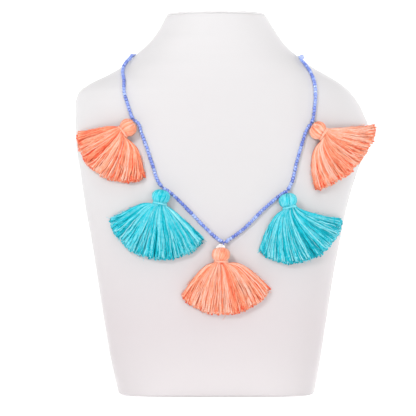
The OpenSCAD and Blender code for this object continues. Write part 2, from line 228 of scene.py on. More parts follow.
@dataclass
class Surface:
    """Points in millimetres with faces, a UV for each face corner and a tone for each point."""

    points: Array
    faces: list[Array]
    uvs: list[Array]
    tone: Array

    def joined(self, *others: "Surface") -> "Surface":
        """This surface and the others as one.

        Args:
            *others: The surfaces that are added, in their order.

        Returns:
            The one surface.
        """
        parts = (self, *others)
        starts = np.cumsum([0] + [len(p.points) for p in parts[:-1]])
        return Surface(
            np.concatenate([p.points for p in parts]),
            [f + start for p, start in zip(parts, starts) for f in p.faces],
            [uv for p in parts for uv in p.uvs],
            np.concatenate([p.tone for p in parts]),
        )

    def outward(self) -> "Surface":
        """The same surface with its faces turned so that the volume inside is positive.

        Returns:
            This surface, or one with every face turned round.
        """
        volume = 0.0
        for faces in self.faces:
            first = self.points[faces[:, 0]]
            for k in range(1, faces.shape[1] - 1):
                a, b = self.points[faces[:, k]], self.points[faces[:, k + 1]]
                volume += np.einsum("ij,ij->", first, np.cross(a, b))
        if volume >= 0:
            return self
        return Surface(
            self.points, [f[:, ::-1] for f in self.faces], [uv[:, ::-1] for uv in self.uvs], self.tone
        )

    def to_object(self, name: str, finish: bpy.types.Material) -> bpy.types.Object:
        """Writes the surface as a mesh object with one finish.

        Args:
            name: The object's name.
            finish: Its material.

        Returns:
            The new object, at the origin, with its place in its mesh.
        """
        corners = np.concatenate([f.ravel() for f in self.faces]).astype(np.int32)
        sizes = np.concatenate([np.full(len(f), f.shape[1]) for f in self.faces])
        mesh = bpy.data.meshes.new(name)
        mesh.vertices.add(len(self.points))
        mesh.vertices.foreach_set("co", (self.points * METRE).astype(np.float32).ravel())
        mesh.loops.add(len(corners))
        mesh.loops.foreach_set("vertex_index", corners)
        mesh.polygons.add(len(sizes))
        mesh.polygons.foreach_set("loop_start", np.cumsum(sizes) - sizes)
        mesh.polygons.foreach_set("use_smooth", np.ones(len(sizes), dtype=bool))
        uvs = np.concatenate([uv.reshape(-1, 2) for uv in self.uvs]).astype(np.float32)
        mesh.uv_layers.new(name="along").uv.foreach_set("vector", uvs.ravel())
        tone = mesh.attributes.new("tone", "FLOAT", "POINT")
        tone.data.foreach_set("value", self.tone.astype(np.float32))
        mesh.update(calc_edges=True)
        mesh.validate()
        mesh.materials.append(finish)
        piece = bpy.data.objects.new(name, mesh)
        bpy.context.scene.collection.objects.link(piece)
        return piece


def quad_grid(grids: int, rows: int, columns: int, strips: int) -> tuple[Array, Array, Array, Array]:
    """Quads over grids of points that close round their columns.

    Args:
        grids: Number of grids.
        rows: Rows of points in a grid.
        columns: Points in a row.
        strips: Strips of quads: one fewer than the rows, or as many where the rows close round too.

    Returns:
        The point numbers of each quad's corners, its grid, and its corners' rows and columns.
    """
    index = np.meshgrid(np.arange(grids), np.arange(strips), np.arange(columns), indexing="ij")
    grid, row, column = (part.reshape(-1, 1) for part in index)
    row, column = row + np.array([0, 0, 1, 1]), column + np.array([0, 1, 1, 0])
    return (grid * rows + row % rows) * columns + column % columns, grid, row, column


def closed_skin(rings: Array, tone: float = 0.5) -> Surface:
    """Skin over rings of points, with each end closed by a fan to the middle of its ring.

    The surface is a function of two parameters on a grid: the ring and the place round it.

    Args:
        rings: Points by ring and by place round the ring.
        tone: The tone of the whole skin.

    Returns:
        The closed surface, faces outward.
    """
    count, sides = rings.shape[:2]
    points = np.concatenate([rings.reshape(-1, 3), rings[0].mean(0)[None], rings[-1].mean(0)[None]])
    quads, _, row, column = quad_grid(1, count, sides, count - 1)
    k, n = np.arange(sides), (np.arange(sides) + 1) % sides
    low, high, top = np.full(sides, count * sides), np.full(sides, count * sides + 1), (count - 1) * sides
    fans = np.concatenate([np.stack([low, n, k], 1), np.stack([high, top + k, top + n], 1)])
    uvs = [np.stack([column / sides, row / (count - 1)], axis=-1), np.zeros((2 * sides, 3, 2))]
    return Surface(points, [quads, fans], uvs, np.full(len(points), tone)).outward()


def tubes(paths: Array, radii: Array, sides: int, reference: Array, tone: Array) -> Surface:
    """Round tubes along many paths at once.

    A point is its path's point plus the radius times the direction round the path at an angle. The
    directions are square to the path, and the first is the reference made square to it.

    Args:
        paths: Points by path and by step.
        radii: Radius at each of those points.
        sides: Number of sides of a tube.
        reference: Direction that the first side looks in, broadcast to the paths.
        tone: A tone for each path, or for each of its points.

    Returns:
        All the tubes as one surface, ends closed.
    """
    count, steps = paths.shape[:2]
    along = unit(np.gradient(paths, axis=1))
    first = square_to(np.broadcast_to(reference, paths.shape), along)
    points = paths[:, :, None] + radii[:, :, None, None] * circle(first, np.cross(along, first), sides)
    quads, path, row, column = quad_grid(count, steps, sides, steps - 1)
    starts = (np.arange(count) * steps * sides)[:, None]
    low = starts + np.arange(sides)[::-1]
    high = starts + (steps - 1) * sides + np.arange(sides)
    travelled = length_along(paths) / (2.0 * radii.mean(axis=1, keepdims=True))
    uvs = [np.stack([column / sides, travelled[path, row]], axis=-1), np.zeros((2 * count, sides, 2))]
    return Surface(
        points.reshape(-1, 3), [quads, np.concatenate([low, high])], uvs,
        np.repeat(np.broadcast_to(tone.reshape(count, -1), (count, steps)).ravel(), sides),
    )


# ---------------------------------------------------------------------------------------------
# Finishes
# ---------------------------------------------------------------------------------------------

class Board:
    """A material's node tree, with short calls for what the finishes need."""

    def __init__(self, name: str) -> None:
        """Makes the material with its shader and texture coordinates.

        Args:
            name: The material's name.
        """
        self.material = bpy.data.materials.new(name)
        self.material.use_nodes = True
        self.tree = self.material.node_tree
        self.shader = self.tree.nodes["Principled BSDF"]
        self.places = self.tree.nodes.new("ShaderNodeTexCoord")

    def add(
        self, kind: str, inputs: dict[str | int, object] | None = None, **settings: object
    ) -> bpy.types.Node:
        """Adds a node.

        Args:
            kind: The node's type, without its "ShaderNode" start.
            inputs: Values or sockets for its inputs, by name or number.
            **settings: The node's own settings.

        Returns:
            The new node.
        """
        node = self.tree.nodes.new("ShaderNode" + kind)
        for name, value in settings.items():
            setattr(node, name, value)
        for name, value in (inputs or {}).items():
            self.feed(node.inputs[name], value)
        return node

    def feed(self, socket: bpy.types.NodeSocket, value: object) -> None:
        """Links a socket to another one, or sets its value.

        Args:
            socket: The input to feed.
            value: A socket to link, or a value to set.
        """
        if isinstance(value, bpy.types.NodeSocket):
            self.tree.links.new(value, socket)
        else:
            socket.default_value = value

    def noise(
        self, scale: float, detail: float, roughness: float = 0.5, stretch: Triple = (1, 1, 1)
    ) -> object:
        """Noise on object coordinates.

        Args:
            scale: Cycles in a metre.
            detail: Octaves.
            roughness: Share that each octave keeps.
            stretch: Scale along each axis.

        Returns:
            The noise's value, from 0 to 1.
        """
        mapping = self.add("Mapping", {"Vector": self.places.outputs["Object"], "Scale": stretch})
        return self.add("TexNoise", {
            "Vector": mapping.outputs[0], "Scale": scale, "Detail": detail, "Roughness": roughness,
        }).outputs[0]

    def ramp(self, value: object, *stops: tuple[float, Colour]) -> object:
        """Colour ramp of a value, from its stops' places and colours.

        Args:
            value: What the ramp reads.
            *stops: Place and colour of each stop.

        Returns:
            The ramp's colour.
        """
        node = self.add("ValToRGB", {0: value})
        elements = node.color_ramp.elements
        while len(elements) < len(stops):
            elements.new(0.5)
        for element, (at, colour) in zip(elements, stops):
            element.position = at
            element.color = (*colour, 1.0)
        return node.outputs[0]

    def falloff(self, vector: object, stops: tuple[tuple[float, float], ...], most: float) -> object:
        """Grey by a vector's length, from stops of length and brightness, as a share of most.

        Args:
            vector: The vector whose length is read.
            stops: Length and brightness of each stop.
            most: What counts as white.

        Returns:
            The grey.
        """
        length = self.add("VectorMath", {0: vector}, operation="LENGTH").outputs["Value"]
        reach = stops[-1][0]
        return self.ramp(
            self.maths("DIVIDE", length, reach), *((at / reach, (grey / most,) * 3) for at, grey in stops),
        )

    def maths(self, operation: str, a: object, b: object = 0.0) -> object:
        """One sum on two values."""
        return self.add("Math", {0: a, 1: b}, operation=operation).outputs[0]

    def vector(self, operation: str, a: object, b: object = (0.0, 0.0, 0.0)) -> object:
        """One sum on two vectors."""
        return self.add("VectorMath", {0: a, 1: b}, operation=operation).outputs[0]

    def spread(self, value: object, low: float, high: float) -> object:
        """A value from 0 to 1 brought to the range from low to high."""
        return self.add("MapRange", {"Value": value, "To Min": low, "To Max": high}).outputs[0]

    def blend(self, a: object, b: object, share: object) -> object:
        """Blend of two colours.

        Args:
            a: The colour at 0.
            b: The colour at 1.
            share: The share of b.

        Returns:
            The blended colour.
        """
        node = self.add("Mix", data_type="RGBA")
        self.feed(node.inputs[0], share)
        self.feed(node.inputs[6], a)
        self.feed(node.inputs[7], b)
        return node.outputs[2]

    def product(self, a: object, b: object) -> object:
        """Product of two colours.

        Args:
            a: One colour.
            b: The other one.

        Returns:
            Their product.
        """
        result = self.blend(a, b, 1.0)
        result.node.blend_type = "MULTIPLY"
        return result

    def attribute(self, name: str) -> object:
        """A value kept on the mesh."""
        return self.add("Attribute", attribute_name=name).outputs["Fac"]

    def bump(self, height: object, strength: float, distance: float, under: object | None = None) -> object:
        """Bump from a height, over another bump where one is given.

        Args:
            height: The height to read.
            strength: How much of the bump is taken.
            distance: Metres that a height of 1 stands for.
            under: The bump below it.

        Returns:
            The new normal.
        """
        inputs = {"Height": height, "Strength": strength, "Distance": distance}
        if under is not None:
            inputs["Normal"] = under
        return self.add("Bump", inputs).outputs[0]

    def finish(self, **inputs: object) -> bpy.types.Material:
        """Feeds the shader, its inputs named with underscores, and returns the material.

        Args:
            **inputs: Values or sockets for the shader's inputs.

        Returns:
            The finished material.
        """
        for name, value in inputs.items():
            self.feed(self.shader.inputs[name.replace("_", " ").title().replace("Ior", "IOR")], value)
        return self.material


@dataclass(frozen=True)
class ShellFinish:
    """Matt coated shell of the bust: soft patches of warmer and cooler white, a fine peel, and painted shade
    that makes its lower part darker and pinker.
    """

    name: str = "matt_white_shell"
    light: Colour = (0.645, 0.635, 0.641)
    shade: Colour = (0.630, 0.613, 0.621)
    # Painted shade: the colour is multiplied by lowest at the foot, by low at low_at and by white from low_to
    # up, so the lower shell is painted darker and pinker.
    lowest: Colour = (1.0, 0.965, 0.970)
    low: Colour = (1.0, 0.945, 0.955)
    low_at: float = 0.040
    low_to: float = 0.110
    patch_scale: float = 9.0
    peel_scale: float = 260.0
    speck_scale: float = 900.0
    speck_share: float = 0.35
    peel: float = 0.00006
    roughness: tuple[float, float] = (0.52, 0.68)
    sheen: float = 0.5

    def build(self) -> bpy.types.Material:
        """Builds the material.

        Returns:
            The new material.
        """
        board = Board(self.name)
        patches = board.noise(self.patch_scale, detail=3.0, roughness=0.45)
        specks = board.noise(self.speck_scale, detail=4.0, roughness=0.6)
        colour = board.ramp(patches, (0.30, self.shade), (0.70, self.light))
        colour = board.blend(colour, (*self.shade, 1.0), board.spread(specks, 0.0, self.speck_share))
        height = board.add("SeparateXYZ", {0: board.places.outputs["Object"]}).outputs[2]
        # Painted shade on the lower part of the shell, by its height.
        painted_low_shade = board.ramp(
            board.maths("DIVIDE", height, self.low_to),
            (0.0, self.lowest), (self.low_at / self.low_to, self.low), (1.0, (1.0, 1.0, 1.0)),
        )
        coarse = board.bump(board.noise(self.peel_scale, detail=3.0), strength=0.25, distance=self.peel)
        return board.finish(
            base_color=board.product(colour, painted_low_shade), roughness=board.spread(specks, *self.roughness),
            normal=board.bump(specks, strength=0.35, distance=self.peel, under=coarse),
            specular_ior_level=0.3, sheen_weight=self.sheen, sheen_roughness=0.35,
        )


@dataclass(frozen=True)
class GlazeFinish:
    """Opaque glossy glaze of the beads: each bead its own blue, with a faint cloud in the glass."""

    name: str = "periwinkle_glaze"
    deep: Colour = (0.11, 0.17, 0.59)
    middle: Colour = (0.25, 0.35, 0.82)
    pale: Colour = (0.45, 0.57, 0.94)
    cloud_scale: float = 1400.0
    cloud_by: float = 0.14
    ripple_scale: float = 2600.0
    ripple: float = 0.00004
    roughness: tuple[float, float] = (0.15, 0.28)

    def build(self) -> bpy.types.Material:
        """Builds the material.

        Returns:
            The new material.
        """
        board = Board(self.name)
        cloud = board.noise(self.cloud_scale, detail=3.0)
        by = board.spread(cloud, -self.cloud_by, self.cloud_by)
        tone = board.maths("ADD", board.attribute("tone"), by)
        colour = board.ramp(tone, (0.05, self.deep), (0.5, self.middle), (0.95, self.pale))
        return board.finish(
            base_color=colour, roughness=board.spread(cloud, *self.roughness),
            normal=board.bump(board.noise(self.ripple_scale, 2.0), strength=0.15, distance=self.ripple),
            coat_weight=0.6, coat_roughness=0.08, ior=1.52,
        )


@dataclass(frozen=True)
class ThreadFinish:
    """Twisted cotton thread: a tone for each thread, a twist that follows it with painted shade and
    highlight, and soft fuzz.

    Attributes:
        name: The material's name.
        gap: Colour of the deepest tone, partly the thread's own deep tone and partly painted shade.
        body: Colour of the middle tone.
        crest: Colour of the palest tone, partly the thread's own pale tone and partly a painted highlight.
        plies: Strands that the thread is twisted from.
        turns: Turns of the twist in a thread's width.
        twist_depth: Metres that the twist stands out by.
        twist_shade: Tones that the twist takes off in its grooves and adds on its crests: painted shade and
            painted highlight.
        fuzz_scale: Cycles of the fuzz in a metre.
        drift_scale: Cycles in a metre of the tone's slow change from place to place.
        drift_by: Tones that this change goes up and down.
        streak: Cycles of a thread's streaks in its width along it.
        own_course: How far apart two tones lie in the noise of the streaks.
        streaks_by: Tones that the streaks go up and down.
        roughness: Least and most roughness.
        sheen: Weight of the sheen.
        glow_weight: Weight of the light that goes through the thread.
        glow_radius: Reach of that light in red, green and blue.
        glow_scale: Metres that a reach of 1 stands for.
    """

    name: str
    gap: Colour
    body: Colour
    crest: Colour
    plies: float = 3.0
    turns: float = 0.34
    twist_depth: float = 0.00009
    twist_shade: tuple[float, float] = (-0.10, 0.06)
    fuzz_scale: float = 5200.0
    drift_scale: float = 650.0
    drift_by: float = 0.22
    streak: float = 0.11
    own_course: float = 40.0
    streaks_by: float = 0.50
    roughness: tuple[float, float] = (0.72, 0.95)
    sheen: float = 0.25
    glow_weight: float = 0.06
    glow_radius: Triple = (1.0, 0.7, 0.6)
    glow_scale: float = 0.0003

    def build(self) -> bpy.types.Material:
        """Builds the material.

        Returns:
            The new material.
        """
        board = Board(self.name)
        uv = board.add("SeparateXYZ", {0: board.places.outputs["UV"]})
        turning = board.maths("ADD", board.maths("MULTIPLY", uv.outputs[0], self.plies),
                              board.maths("MULTIPLY", uv.outputs[1], self.turns * self.plies))
        twist = board.maths("SINE", board.maths("MULTIPLY", turning, 2 * np.pi))
        twist = board.spread(twist, 0.0, 1.0)
        twist.node.inputs["From Min"].default_value = -1.0
        fuzz = board.noise(self.fuzz_scale, detail=3.0, roughness=0.6)
        drift = board.noise(self.drift_scale, detail=3.0, roughness=0.6)
        own = board.attribute("tone")
        course = board.add("CombineXYZ", {
            0: board.maths("MULTIPLY", own, self.own_course),
            1: board.maths("MULTIPLY", uv.outputs[1], self.streak),
        })
        streaks = board.add("TexNoise", {"Vector": course.outputs[0], "Scale": 1.0, "Detail": 2.0}).outputs[0]
        tone = board.maths("ADD", own, board.spread(drift, -self.drift_by, self.drift_by))
        tone = board.maths("ADD", tone, board.spread(streaks, -self.streaks_by, self.streaks_by))
        # Painted shade in the twist's grooves and painted highlight on its crests.
        tone = board.maths("ADD", tone, board.spread(twist, *self.twist_shade))
        # From gap to crest: the thread's own tones, with painted shade at the deep end and painted highlight
        # at the pale end.
        colour = board.ramp(tone, (0.08, self.gap), (0.5, self.body), (1.0, self.crest))
        height = board.maths("ADD", twist, board.maths("MULTIPLY", fuzz, 0.5))
        return board.finish(
            base_color=colour, roughness=board.spread(fuzz, *self.roughness),
            normal=board.bump(height, strength=0.6, distance=self.twist_depth),
            sheen_weight=self.sheen, sheen_roughness=0.45, sheen_tint=(*self.crest, 1.0),
            specular_ior_level=0.20,
            subsurface_weight=self.glow_weight, subsurface_radius=self.glow_radius,
            subsurface_scale=self.glow_scale,
        )


@dataclass(frozen=True)
class MetalFinish:
    """Polished plate of the clasp, with fine turning marks and dull patches."""

    name: str = "polished_plate"
    bright: Colour = (0.78, 0.78, 0.80)
    dull: Colour = (0.60, 0.60, 0.62)
    mark_scale: float = 900.0
    mark_stretch: Triple = (14.0, 1.0, 1.0)
    mark_depth: float = 0.00003
    patch_scale: float = 300.0
    roughness: tuple[float, float] = (0.18, 0.34)

    def build(self) -> bpy.types.Material:
        """Builds the material.

        Returns:
            The new material.
        """
        board = Board(self.name)
        marks = board.noise(self.mark_scale, detail=3.0, roughness=0.55, stretch=self.mark_stretch)
        patches = board.noise(self.patch_scale, detail=3.0)
        return board.finish(
            base_color=board.ramp(patches, (0.35, self.dull), (0.6, self.bright)), metallic=1.0,
            roughness=board.spread(patches, *self.roughness),
            normal=board.bump(marks, strength=0.2, distance=self.mark_depth),
        )


@dataclass(frozen=True)
class PaperFinish:
    """Plain white studio paper that gives off a little painted light, less of it where the bust stands as
    painted shadow.

    The glow goes by the distance from the origin, as painted light and painted shadow round the bust.
    Close round the foot's outline it is cut down by the distance beyond that outline, the length of
    max(|p| - foot, 0), which paints the contact shadow.
    """

    name: str = "studio_paper"
    colour: Colour = (0.55, 0.55, 0.55)
    pale: Colour = (0.57, 0.57, 0.57)
    grain_scale: float = 40.0
    grain_depth: float = 0.0002
    roughness: tuple[float, float] = (0.85, 0.95)
    # Painted light of the paper by distance from the origin: brightest just round the foot, a painted shadow
    # from about 85 to 150 mm, and brighter again far off.
    glow: tuple[tuple[float, float], ...] = (
        (0.038, 0.80), (0.055, 1.06), (0.085, 0.56), (0.15, 0.54), (0.50, 0.70), (1.4, 0.96),
    )
    foot: Triple = (0.0525, 0.036, 0.0)
    contact: tuple[tuple[float, float], ...] = ((0.002, 0.62), (0.006, 0.80), (0.012, 0.98), (0.020, 1.00))

    def build(self) -> bpy.types.Material:
        """Builds the material.

        Returns:
            The new material.
        """
        board = Board(self.name)
        grain = board.noise(self.grain_scale, detail=3.0)
        colour = board.ramp(grain, (0.3, self.colour), (0.7, self.pale))
        most = max(share for _, share in self.glow)
        glow = board.falloff(board.places.outputs["Object"], self.glow, most)
        beyond = board.vector("ABSOLUTE", board.places.outputs["Object"])
        beyond = board.vector("MAXIMUM", board.vector("SUBTRACT", beyond, self.foot), (0.0, 0.0, 0.0))
        return board.finish(
            base_color=colour, roughness=board.spread(grain, *self.roughness), specular_ior_level=0.0,
            emission_color=board.product(glow, board.falloff(beyond, self.contact, 1.0)),
            emission_strength=most,
            normal=board.bump(grain, strength=0.05, distance=self.grain_depth),
        )


@dataclass(frozen=True)
class Finishes:
    """Every material of the object, built once."""

    shell: bpy.types.Material
    cap: bpy.types.Material
    glaze: bpy.types.Material
    stringing: bpy.types.Material
    hanger: bpy.types.Material
    metal: bpy.types.Material
    yarn: dict[Yarn, bpy.types.Material]
    binding: dict[Yarn, bpy.types.Material]

    @staticmethod
    def build() -> "Finishes":
        """Builds them all.

        Returns:
            The set of materials.
        """
        # Deepest, middle and palest colour of each yarn; the deepest also serves as painted shade and the
        # palest as painted highlight.
        coral = ((0.88, 0.10, 0.04), (0.95, 0.333, 0.185), (0.955, 0.60, 0.48))
        turquoise = ((0.0, 0.30, 0.39), (0.0, 0.565, 0.69), (0.32, 0.78, 0.85))
        return Finishes(
            shell=ShellFinish().build(),
            cap=ShellFinish("matt_white_cap", (0.70, 0.69, 0.695), (0.68, 0.665, 0.67)).build(),
            glaze=GlazeFinish().build(),
            stringing=ThreadFinish(
                "blue_stringing_thread", (0.08, 0.11, 0.42), (0.15, 0.20, 0.60), (0.24, 0.30, 0.75)
            ).build(),
            hanger=ThreadFinish(
                "white_hanging_thread", (0.86, 0.85, 0.85), (0.95, 0.94, 0.94), (0.98, 0.98, 0.98)
            ).build(),
            metal=MetalFinish().build(),
            yarn={
                Yarn.CORAL: ThreadFinish("coral_cotton", *coral).build(),
                Yarn.TURQUOISE: ThreadFinish("turquoise_cotton", *turquoise).build(),
            },
            binding={
                Yarn.CORAL: ThreadFinish("coral_wound_thread", *coral, sheen=0.5).build(),
                Yarn.TURQUOISE: ThreadFinish("turquoise_wound_thread", *turquoise, sheen=0.5).build(),
            },
        )


def place(piece: bpy.types.Object, slot: str, *nodes: str) -> None:
    """Ties a piece to the frame.

    Args:
        piece: The finished object.
        slot: The record's material slot for the piece; not used.
        *nodes: The CAD nodes that it stands for.
    """
    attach(piece, "root")
    if nodes:
        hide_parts(*nodes)
    LOG.info("%s: %d points, %d faces", piece.name, len(piece.data.vertices), len(piece.data.polygons))


# ---------------------------------------------------------------------------------------------
# The bust
# ---------------------------------------------------------------------------------------------

@dataclass
class Bust:
    """The plain neck bust and the sums that say where its skin is.

    Attributes:
        height: Whole height with the cap.
        shoulder_w: Width at the shoulders.
        shoulder_shift: How far the shoulders lie to the right.
        shoulder_d: Depth at the shoulders.
        foot_w: Width of the foot.
        foot_d: Depth of the foot.
        neck_w: Width of the neck's top.
        neck_d: Depth of the neck's top.
        lean: Unit of the column that says how far back each section lies.
        foot_round: Radius of the edge under the foot.
        cap_t: Thickness of the cap.
        seam: Height of the seam under the cap.
        seam_depth: Depth of that seam.
        seam_slack: What the step in the seam leaves free below the cap.
        edge_round: Radius of the edges at the seam.
        foot_insets: Insets of the flat rings under the foot.
        step_insets: Insets of the flat rings on the step.
        cap_insets: Insets of the flat rings above and under the cap.
        sides: Points round a section.
        rows: Sections between the two rounded edges.
        slope_step: Step of the differences that give a slope.
        edge_at: Share of the half width past which a resting depth stays the same.
        least_forward: Least forward part that the skin's normal counts with in a resting depth.
        levels: Height shares at which the columns are worked out.
        table: Each column's values there.
    """

    height: float = 216.0
    shoulder_w: float = 168.0
    shoulder_shift: float = 3.3
    shoulder_d: float = 60.0
    foot_w: float = 111.0
    foot_d: float = 76.0
    neck_w: float = 57.0
    neck_d: float = 46.0
    lean: float = 3.5
    foot_round: float = 1.6
    cap_t: float = 1.3
    seam: float = 0.3
    seam_depth: float = 0.3
    seam_slack: float = 0.02
    edge_round: float = 0.35
    foot_insets: Triple = (30.0, 18.0, 6.0)
    step_insets: tuple[float, float] = (8.0, 18.0)
    cap_insets: Triple = (2.0, 8.0, 18.0)
    sides: int = 176
    rows: int = 150
    slope_step: float = 0.5
    edge_at: float = 0.96
    least_forward: float = 0.5
    levels: Array = field(default_factory=lambda: np.linspace(0.0, 1.0, 2001))
    table: dict[Column, Array] = field(default_factory=dict)

    def __post_init__(self) -> None:
        """Works the smooth columns out once."""
        for column in Column:
            self.table[column] = smooth_through(SECTIONS[:, 0], SECTIONS[:, column.value], self.levels)

    def column(self, column: Column, h: Array) -> Array:
        """A column of the sections at height shares."""
        return np.interp(h, self.levels, self.table[column])

    def half_width(self, h: Array, x: Array) -> Array:
        """Half width at height shares, on the side that x lies on.

        Args:
            h: Height shares, from 0 at the foot to 1 at the top.
            x: Places across, for their side.

        Returns:
            The half widths.
        """
        end = np.where(h < SHOULDER_AT, self.foot_w, self.neck_w) / 2
        full = self.shoulder_w / 2 + np.where(x < 0, -1, 1) * self.shoulder_shift
        share = np.where(x < 0, self.column(Column.LEFT, h), self.column(Column.RIGHT, h))
        return mix(end, full, share)

    def half_depth(self, h: Array) -> Array:
        """Half depth at height shares."""
        end = np.where(h < SHOULDER_AT, self.foot_d, self.neck_d) / 2
        return mix(end, self.shoulder_d / 2, self.column(Column.DEPTH, h))

    def middle(self, h: Array) -> Array:
        """How far back the section's middle lies at height shares."""
        return self.lean * self.column(Column.LEAN, h)

    def skin_y(self, x: Array, z: Array, side: Array | float) -> Array:
        """Depth of the skin at places across and up: the section's own curve solved for y.

        Args:
            x: Places across.
            z: Places up.
            side: -1 for the front, 1 for the back.

        Returns:
            The skin's y.
        """
        h = z / self.height
        n = self.column(Column.SQUARE, h)
        u = np.minimum(np.abs(x) / self.half_width(h, x), 1.0)
        return self.middle(h) + side * self.half_depth(h) * (1.0 - u**n) ** (1.0 / n)

    def outside(self, p: Array) -> Array:
        """How far points lie outside the skin, as a number that is 0 on it.

        Args:
            p: Points.

        Returns:
            The sum of the powers of their shares of the width and depth, less 1.
        """
        h = p[..., 2] / self.height
        n = self.column(Column.SQUARE, h)
        wide = np.abs(p[..., 0]) / self.half_width(h, p[..., 0])
        deep = np.abs(p[..., 1] - self.middle(h)) / self.half_depth(h)
        return wide**n + deep**n - 1.0

    def slope(self, p: Array) -> Array:
        """Slope of that number, by differences over a small step along each axis.

        Args:
            p: Points.

        Returns:
            The slope along each axis.
        """
        step = self.slope_step * np.eye(3)
        return np.stack([
            (self.outside(p + s) - self.outside(p - s)) / (2 * self.slope_step) for s in step
        ], axis=-1)

    def normal(self, p: Array) -> Array:
        """Direction out of the skin at points on it."""
        return unit(self.slope(p))

    def clear_of_skin(self, p: Array, room: Array | float) -> Array:
        """Points moved out along the normal as far as it takes to leave room to the skin.

        Args:
            p: Points.
            room: Distance to keep.

        Returns:
            The moved points.
        """
        g = self.slope(p)
        size = np.linalg.norm(g, axis=-1)
        return p + np.maximum(0.0, room - self.outside(p) / size)[..., None] * g / size[..., None]

    def rest_y(self, x: Array, z: Array, gap: float, thick: Array | float, wide: float = 0.0) -> Array:
        """The y at which a round section rests a gap in front of the skin, also past its edges.

        Args:
            x: Places across.
            z: Places up.
            gap: Distance that stays free.
            thick: Half thickness of the section.
            wide: Its half width.

        Returns:
            The y of the section's middle.
        """
        far = self.edge_at * self.half_width(z / self.height, x)
        xc = np.clip(x, -far, far)
        y = self.skin_y(xc, z, Side.FRONT.value)
        n = self.normal(np.stack([xc, y, z + 0.0 * xc], axis=-1))
        reach = np.sqrt((thick * n[..., 1]) ** 2 + wide**2 * (n[..., 0] ** 2 + n[..., 2] ** 2))
        return y - (reach + gap) / np.maximum(self.least_forward, -n[..., 1])

    def ring(self, z: Array, inset: Array) -> Array:
        """Rounded sections at heights.

        The direction goes round by an even angle, and its length is what brings the sum of the
        squared-off powers of its two parts to 1.

        Args:
            z: Heights, one for each ring.
            inset: Distance that each ring is drawn in.

        Returns:
            Points by ring and by place round it.
        """
        h = (z / self.height)[:, None]
        angle = angles_round(self.sides)
        c, s = np.cos(angle)[None], np.sin(angle)[None]
        n = self.column(Column.SQUARE, h)
        far = (np.abs(c) ** n + np.abs(s) ** n) ** (-1.0 / n)
        x = (self.half_width(h, c) - inset[:, None]) * far * c
        y = self.middle(h) + (self.half_depth(h) - inset[:, None]) * far * s
        return np.stack([x, y, np.broadcast_to(z[:, None], x.shape)], axis=-1)

    def shell(self) -> Surface:
        """The bust from its rounded foot to the step under the cap, closed below and above.

        Returns:
            The closed surface.
        """
        turn = np.radians(np.linspace(0.0, 90.0, 7))
        top = self.height - self.cap_t - self.seam
        step = top + self.seam - self.seam_slack
        z = np.concatenate([
            [0.0, 0.0, 0.0], self.foot_round * (1 - np.cos(turn)),
            np.linspace(self.foot_round, top - self.edge_round, self.rows)[1:],
            top - self.edge_round * (1 - np.sin(turn[1:4] * 2)),
            [top, step, step, step],
        ])
        inset = np.concatenate([
            self.foot_insets, self.foot_round * (1 - np.sin(turn)),
            np.zeros(self.rows - 1), self.edge_round * (1 - np.cos(turn[1:4] * 2)),
            [self.seam_depth, self.seam_depth, *self.step_insets],
        ])
        return closed_skin(self.ring(z, inset))

    def cap(self) -> Surface:
        """The thin cap: one section carried up, with rounded edges and closed faces.

        Returns:
            The closed surface.
        """
        turn = np.radians(np.linspace(0.0, 90.0, 6))
        low, high, r = self.height - self.cap_t, self.height, self.edge_round
        z = np.concatenate([
            [low, low, low], low + r * (1 - np.cos(turn)), high - r * (1 - np.sin(turn)), [high, high, high],
        ])
        inset = np.concatenate([
            self.cap_insets[::-1], r * (1 - np.sin(turn)), r * (1 - np.cos(turn)), self.cap_insets,
        ])
        rings = self.ring(np.full(len(z), float(high)), inset)
        rings[..., 2] = z[:, None]
        return closed_skin(rings)

    def build(self, finishes: Finishes) -> None:
        """Builds the bust and its cap and ties them to the frame."""
        place(self.shell().to_object("bust_shell", finishes.shell), "bust", "neck_bust")
        place(self.cap().to_object("bust_cap", finishes.cap), "bust_cap", "neck_cap")


# ---------------------------------------------------------------------------------------------
# The string of beads and its clasp
# ---------------------------------------------------------------------------------------------

